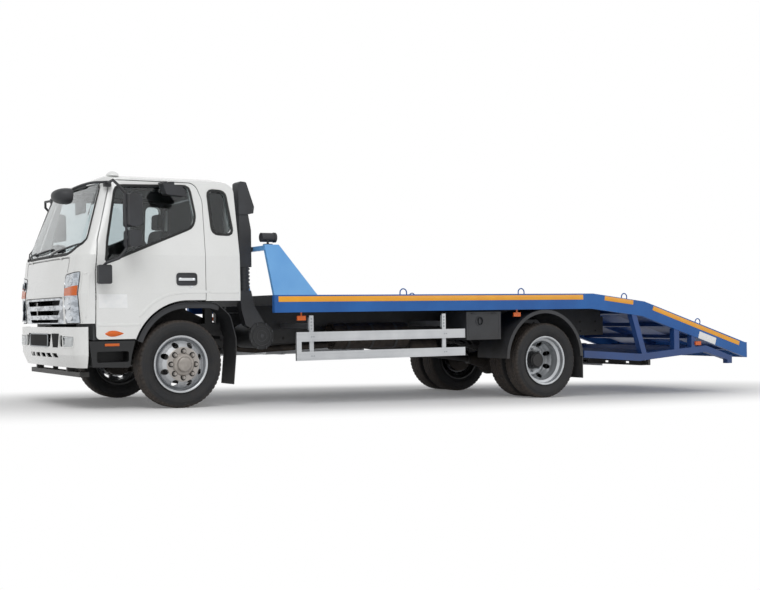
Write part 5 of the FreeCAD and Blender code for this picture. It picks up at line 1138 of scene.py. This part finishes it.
# %% Mirrors
def oval_shell(centre, size, flat_back=0.25, rows=20, columns=40):
    """Oval head: x = size sin(v) with its back cut flat, y and z = size cos(v) round an oval in u."""
    v = np.linspace(-np.pi / 2, np.pi / 2, rows)[:, None]
    u = np.arange(columns)[None] * 2 * np.pi / columns
    depth = np.maximum(np.sin(v), -flat_back) + 0 * u
    wide = np.cos(v) ** 0.8
    square = (np.abs(np.cos(u)) ** 2.6 + np.abs(np.sin(u)) ** 2.6) ** (-1 / 2.6)
    y, z = wide * square * np.cos(u), wide * square * np.sin(u)
    return shell(np.asarray(centre) + np.stack([depth * size[0], y * size[1], z * size[2]], -1), False, True)


HEAD_X, HEAD_Y, HEAD_Z = 1112, 790, 2196
front_arm = smooth_path([(700, 930, 2345), (880, 905, 2335), (1010, 850, 2290), (1110, 800, 2230)], 90, 7, False)
front_mirror = [oval_shell((HEAD_X, HEAD_Y, HEAD_Z), (140, 165, 80)),
                carried(round_profile(13), evened(front_arm, 25, False)),
                turned([(-16, 0), (-16, 24), (22, 24), (26, 18), (26, 0)], (1092, 810, 2246), (-0.6, 0.2, 0.75), 20,
                       False),
                block((690, 742), (905, 955), (2328, 2352), 5)]
make("front_mirror_shell", on_truck(front_mirror), black_plastic, "cab", stands_for=("front_mirror",))
glass_front = oval_shell((HEAD_X - 38, HEAD_Y, HEAD_Z), (3, 148, 66))
make("front_mirror_glass", on_truck([glass_front]), mirror_glass, "cab")

# %% Door mirrors
INNER_Y, OUTER_Y = 1238, 1412  # sides of the panes
RIM = 13  # how far the rims run outside them
panes = [block((514, 521), (INNER_Y, OUTER_Y), (1886, 2166), 3),
         block((524, 531), (INNER_Y, OUTER_Y), (1682, 1800), 3)]
ribs = []
for x, z, high in ((519, 2176, 300), (529, 1812, 144)):
    corners = [(x, y, z - lower) for y, lower in ((INNER_Y - RIM, 0), (OUTER_Y + RIM, 0), (OUTER_Y + RIM, high),
                                                  (INNER_Y - RIM, high))]
    ribs.append(carried(corner_profile(5, 5, 1.2), evened(smooth_path(corners, 22), 30), (1, 0, 0), True))
for side, word in SIDES:
    make(f"mirror_glass_{word}", mirrored(on_truck(panes), side), mirror_glass, f"door_{word}")
    make(f"mirror_rims_{word}", mirrored(on_truck(ribs), side), black_plastic, f"door_{word}")

# %% Dome and label
roof_skin = skin("cab_roof", "cab_sides")
dome_spot = draped(parked([[(600, 752, 2500)], [(602, 752, 2500)]]), roof_skin, 2, -0.004)[0, 0]
dome = turned(np.array([(0, 0), (0, 64), (8, 66), (14, 65), (28, 57), (40, 43), (48, 24), (50, 0)]) * MM,
              dome_spot, (0, 0, 1), 36, False)
make("roof_dome", [dome], white_paint, "cab")
label = thick(draped(sheet_on(side_line([(888, 1191), (588, 1188)], 0, 20, False),
                              side_line([(884, 1052), (584, 1048)], 0, 20, False), 14, 6), door_skin, 1, 0.0002),
              (0, 0.0012, 0))
make("door_label_blank", label, label_white, "door_left")

# %% [markdown]
# ## Arch lips
# A black lip follows the wheel arch from the step to the mudguard, and hides the raw edge of the liner. It
# is a flat band carried along the arch: a part of a circle, then a level run that drops at its end.

# %% Arch lips
ARCH_X, ARCH_Z, ARCH_RADIUS, ARCH_Y = -72, 520, 548, 1096
angle = np.linspace(math.radians(19.2), np.pi / 2, 24)
bend = np.stack([ARCH_X + ARCH_RADIUS * np.cos(angle), ARCH_Z + ARCH_RADIUS * np.sin(angle)], -1)
arch_path = np.concatenate([bend, [(-200, 1068), (-330, 1066), (-430, 1040)]])
arch_path = np.insert(arch_path, 1, ARCH_Y, axis=1)
wide_lip = corner_profile(58, 9, 3)
lips = [carried(wide_lip, evened(arch_path, 30, False), (0, 1, 0))]
make("arch_lips", both(on_truck(lips)), black_plastic, "chassis")

# %% [markdown]
# ## Side guards, posts and locker
# The guard rails are extrusions with two ribs along their faces, clamped to zinc-plated posts by hexagon bolts. The
# locker behind them has a door with a seam, a black strip of painted shade for the gap round it, and a round turn
# latch.

# %% Side guards and locker
POSTS_X = (-1500, -3250)
ribs = [strip([(-3520, z), (-1306, z)], 1198, 7, 3) for z in (684, 742, 474, 528)]
caps = [block((-3529, -3524), (1167, 1199), span, 1.5) for span in ((659, 766), (451, 551))]
make("guard_ribs", both(on_truck(ribs + caps)), guard_alloy, "chassis")
spots = [(x, 1168, z) for x in POSTS_X for z in (800, 836, 872, 908)]
places = [(x + dx, 1198, z) for x in POSTS_X for z in (712, 501) for dx in (-14, 14)]
plates = [block((x - 34, x + 34), (1146, 1151), (785, 925), 2) for x in POSTS_X]
make("guard_bolts", both(on_truck([bolts(spots, (0, 1, 0), 8, 6), bolts(places, (0, 1, 0), 6, 4)] + plates)), zinc,
     "chassis")

# %% Locker door
LATCH = (-3740, 0, 850)
door_corners = [(x, 1199, z) for x, z in ((-4022, 655), (-3578, 655), (-3578, 935), (-4022, 935))]
# painted shade: the seam is a black strip in the gap round the locker door
seam = carried(corner_profile(8, 6, 2), evened(smooth_path(door_corners, 30), 40), (0, 1, 0), True)
dish = turned([(1180, 0), (1180, 43), (1186, 43), (1188, 36), (1185, 30), (1185, 0)], LATCH, (0, 1, 0), 32, False)
grip = block((-3748, -3732), (1183, 1198), (818, 882), 3)
collar = turned([(1198, 46), (1205, 50), (1206, 57), (1199, 60)], LATCH, (0, 1, 0), 32, True)
hinges = [carried(round_profile(7), [(x, 1202, 940), (x + 60, 1202, 940)]) for x in (-3980, -3680)]
make("locker_latch", on_truck([seam, dish, grip, collar] + hinges), black_plastic, "chassis")

# %% [markdown]
# ## Chassis bolts, filter cover and lamps
# Crossmembers are bolted through the chassis rails in pairs. The air filter's cover is clamped by clips
# round its rim. The work lamps look back over the platform, and the rear lamps sit on the underrun beam
# beside a blank number plate.

# %% Chassis details
heads = [(x, 430, z) for x in np.arange(-6200, 960, 260.0) for z in (688, 812)]
make("chassis_bolts", both(on_truck([bolts(heads, (0, 1, 0), 11, 9)])), cast_iron, "chassis")
FILTER, CLIP_CIRCLE = (-980, 0, 730), 136
clip_angle = np.arange(8) * np.pi / 4 + 0.39
clips_x, clips_z = FILTER[0] + CLIP_CIRCLE * np.cos(clip_angle), FILTER[2] + CLIP_CIRCLE * np.sin(clip_angle)
clips = [block((x - 9, x + 9), (975, 998), (z - 16, z + 16), 3) for x, z in zip(clips_x, clips_z)]
rings = [turned([(988, r - 5), (997, r - 3), (997, r + 3), (988, r + 5)], FILTER, (0, 1, 0), 48, True)
         for r in (58, 104)]
cap = turned([(990, 0), (990, 24), (1000, 22), (1003, 12), (1003, 0)], FILTER, (0, 1, 0), 24, False)
make("filter_cover", on_truck(clips + rings + [cap]), black_plastic, "chassis")
bands = [turned([(x - 16, 152), (x - 16, 155), (x + 16, 155), (x + 16, 152)], (0, 675, 700), (1, 0, 0), 48, True)
         for x in (-2180, -2500, -2820)]
make("silencer_straps", on_truck(bands), black_enamel, "chassis")

# %% Work and rear lamps
WORK_LAMP = (-1067, 1150, 1793)
work_glass = turned([(-4, 0), (-4, 44), (2, 43), (7, 30), (8, 0)], WORK_LAMP, (-1, 0, 0), 36, False)
work_hood = turned([(-10, 51), (-10, 55), (14, 54), (14, 49)], WORK_LAMP, (-1, 0, 0), 36, True)
make("work_lamp_glass", both(on_truck([work_glass])), clear_lens, "chassis")
make("work_lamp_hoods", both(on_truck([work_hood])), black_plastic, "chassis")
make("rear_lamp_housings", both(on_truck([block((-6474, -6460), (820, 1080), (238, 298), 4)])), black_plastic,
     "chassis")
for colour, span, look in (("red", (912, 1072), red_lens), ("amber", (868, 908), amber_lens),
                           ("clear", (828, 864), clear_lens)):
    make(f"rear_lamps_{colour}", both(on_truck([block((-6480, -6472), span, (246, 290), 4)])), look, "chassis")
make("rear_plate_blank", on_truck([block((-6466, -6460), (-260, 260), (206, 306), 2)]), label_white, "chassis")

# %% [markdown]
# ## Winch rope
# Wire rope lies on the winch drum in neat turns. Seen from outside, the lay is a row of round backs: a
# turned profile whose radius rises from the lay's own radius by the size of a sine of the place along the
# drum, with one back for each turn. The drum's length over the pitch gives 22 turns.

# %% Winch rope
DRUM_HALF, DRUM_RADIUS, DRUM_CENTRE = 134, 47, (-1324, 0, 1086)
PITCH_MM, LAY_RADIUS, BACK = 12, 62, 5
along = np.linspace(-DRUM_HALF, DRUM_HALF, 161)
lay = LAY_RADIUS + BACK * np.abs(np.sin(np.pi * along / PITCH_MM))
rope_profile = np.concatenate([[(-DRUM_HALF, DRUM_RADIUS)], np.stack([along, lay], -1), [(DRUM_HALF, DRUM_RADIUS)]])
rope = turned(rope_profile, DRUM_CENTRE, (0, 1, 0), 48, True)
make("winch_rope", on_truck([rope]), worn_steel, "chassis")

# %% [markdown]
# ## Seats
# Both seats are foam under woven cloth: a cushion and a back with raised side bolsters, sewn channels
# across the middle and a piped seam round the edge, and a small head restraint. Foam has no flat faces and
# no sharp edges, so each pad is a rounded box whose faces are crowned by a formula: its corners come from
# powers of sine and cosine, and bolsters and channels are added along its thickness.

# %% Seat pads
def pad(centre, size, lean=0.0, crown=14, channels=3, bolster=18, power=0.28, rows=56, columns=96):
    """Rounded box (signed powers of sine and cosine), its front face crowned, channelled and bolstered.

    size is (width along y, length along the pad, thickness); lean turns it about the y axis in degrees."""
    v = np.linspace(-np.pi / 2, np.pi / 2, rows)[:, None]
    u = np.arange(columns)[None] * 2 * np.pi / columns

    def soft(value):
        """Signed power, which squares a circle's corners."""
        return np.sign(value) * np.abs(value) ** power

    a = soft(np.cos(u)) * np.abs(np.cos(v)) ** power
    b = soft(np.sin(u)) * np.abs(np.cos(v)) ** power
    c = soft(np.sin(v)) + 0 * u
    face = np.clip(c, 0, 1)
    swell = crown * (1 - a ** 2) * (1 - b ** 2)
    wings = bolster * np.clip((np.abs(a) - 0.62) / 0.2, 0, 1) * np.clip((1 - np.abs(a)) / 0.14, 0, 1)
    stitch = 9 * np.exp(-((np.abs(a) - 0.6) / 0.022) ** 2)
    middle = np.abs(a) < 0.6
    for k in range(channels):
        stitch = stitch + 7 * middle * np.exp(-((b + 0.5 - k / max(1, channels - 1)) / 0.02) ** 2)
    piping = 4 * np.exp(-((c - 0.55) / 0.06) ** 2)
    wide = (size[0] / 2 + piping) * a
    long = (size[1] / 2 + piping) * b
    deep = size[2] / 2 * c + face * (swell + wings - stitch)
    t = math.radians(lean)
    x = long * math.cos(t) - deep * math.sin(t)
    z = long * math.sin(t) + deep * math.cos(t)
    return shell(np.asarray(centre) + np.stack([x, wide, z], -1), False, True)


SEAT_Y = 630
for side, word in SIDES:
    pads = {"cushion": pad((-45, side * SEAT_Y, 1344), (500, 560, 112), 2),
            "back": pad((-368, side * SEAT_Y, 1650), (476, 640, 96), 99, channels=4),
            "head_rest": pad((-404, side * SEAT_Y, 2072), (236, 176, 78), 93, 8, 0, 0)}
    for part, shape in pads.items():
        piece = make(f"seat_{part}_{word}", on_truck([shape]), seat_cloth, "cab", crease=80,
                     stands_for=("seats",) if part == "cushion" and side == 1 else ())
plinths = [block((-290, 170), (400, 860), (1156, 1296), 12), block((-440, -330), (420, 840), (1276, 1330), 10),
           block((-300, 60), (884, 893), (1270, 1330), 4)]
stalks = [carried(round_profile(6), [(-398, y, 1960), (-402, y, 2010)]) for y in (590, 670)]
shafts = [turned([(0, 0), (0, 34), (30, 34), (34, 28), (34, 0)], (-330, 868, 1330), (0, 1, 0), 28, False)]
make("seat_plinths", both(on_truck(plinths + stalks + shafts)), grey_plastic, "cab")

# %% [markdown]
# ## Cab lining
# Behind the glass, a real cab is grey: a moulded headliner, a felt rear wall and door cards. The liner is a
# shallow tray whose edges turn down, a grid whose height drops with a high power of the distance from its
# middle: the sixth across the cab and the eighth along it. Door cards and pillar covers are left to the
# finish of the panels.

# %% Cab lining
s, t = np.linspace(-1, 1, 26)[:, None], np.linspace(-1, 1, 40)[None]
liner = np.stack([35 + 590 * s + 0 * t, 862 * t + 0 * s, 2352 - 34 * t ** 6 - 46 * np.clip(s, -1, 1) ** 8], -1)
liner_shells = thick(liner, (0, 0, -9))
wall = np.stack([-614 + 0 * s + 0 * t, 900 * t * (1 - 0.05 * (s + 1)), 1755 + 570 * s + 0 * t], -1)
wall_shells = thick(wall, (8, 0, 0))
make("headliner", on_truck(liner_shells), lining_felt, "cab")
make("rear_lining", on_truck(wall_shells), lining_felt, "cab")
visors = [block((560, 572), (y - 190, y + 190), (2130, 2290), 4) for y in (-480, 480)]
make("sun_visors", on_truck(visors), grey_plastic, "cab")
gauge = [block((640, 652), (-760, -360), (1470, 1560), 6), block((628, 642), (-120, 220), (1330, 1520), 8)]
make("dash_panels", on_truck(gauge), black_plastic, "cab")

# %% [markdown]
# ## Hub covers
# Over each front hub sits a cast cover with a low dome. It is one turned profile in front of the hub's
# plain flange, and each of its steps is rounded.

# %% Hub covers
FLANGE_Y = 1143
steps_out = [(10, 121), (16, 119.5), (22, 115), (31.5, 106), (33.5, 96), (36, 86), (41, 80), (50, 77.5), (60, 75),
             (66, 69), (69, 58), (70.5, 40), (71, 0)]  # distance out from the flange, and radius
cover_profile = (np.array(steps_out) + (FLANGE_Y, 0)) * MM
hub_cover = turned(cover_profile, (AXLE_X, 0, HUB_Z), (0, 1, 0), 72, False)
for side, word in SIDES:
    make(f"hub_cover_{word}", mirrored([hub_cover], side), hub_cast, f"wheel_front_{word}")
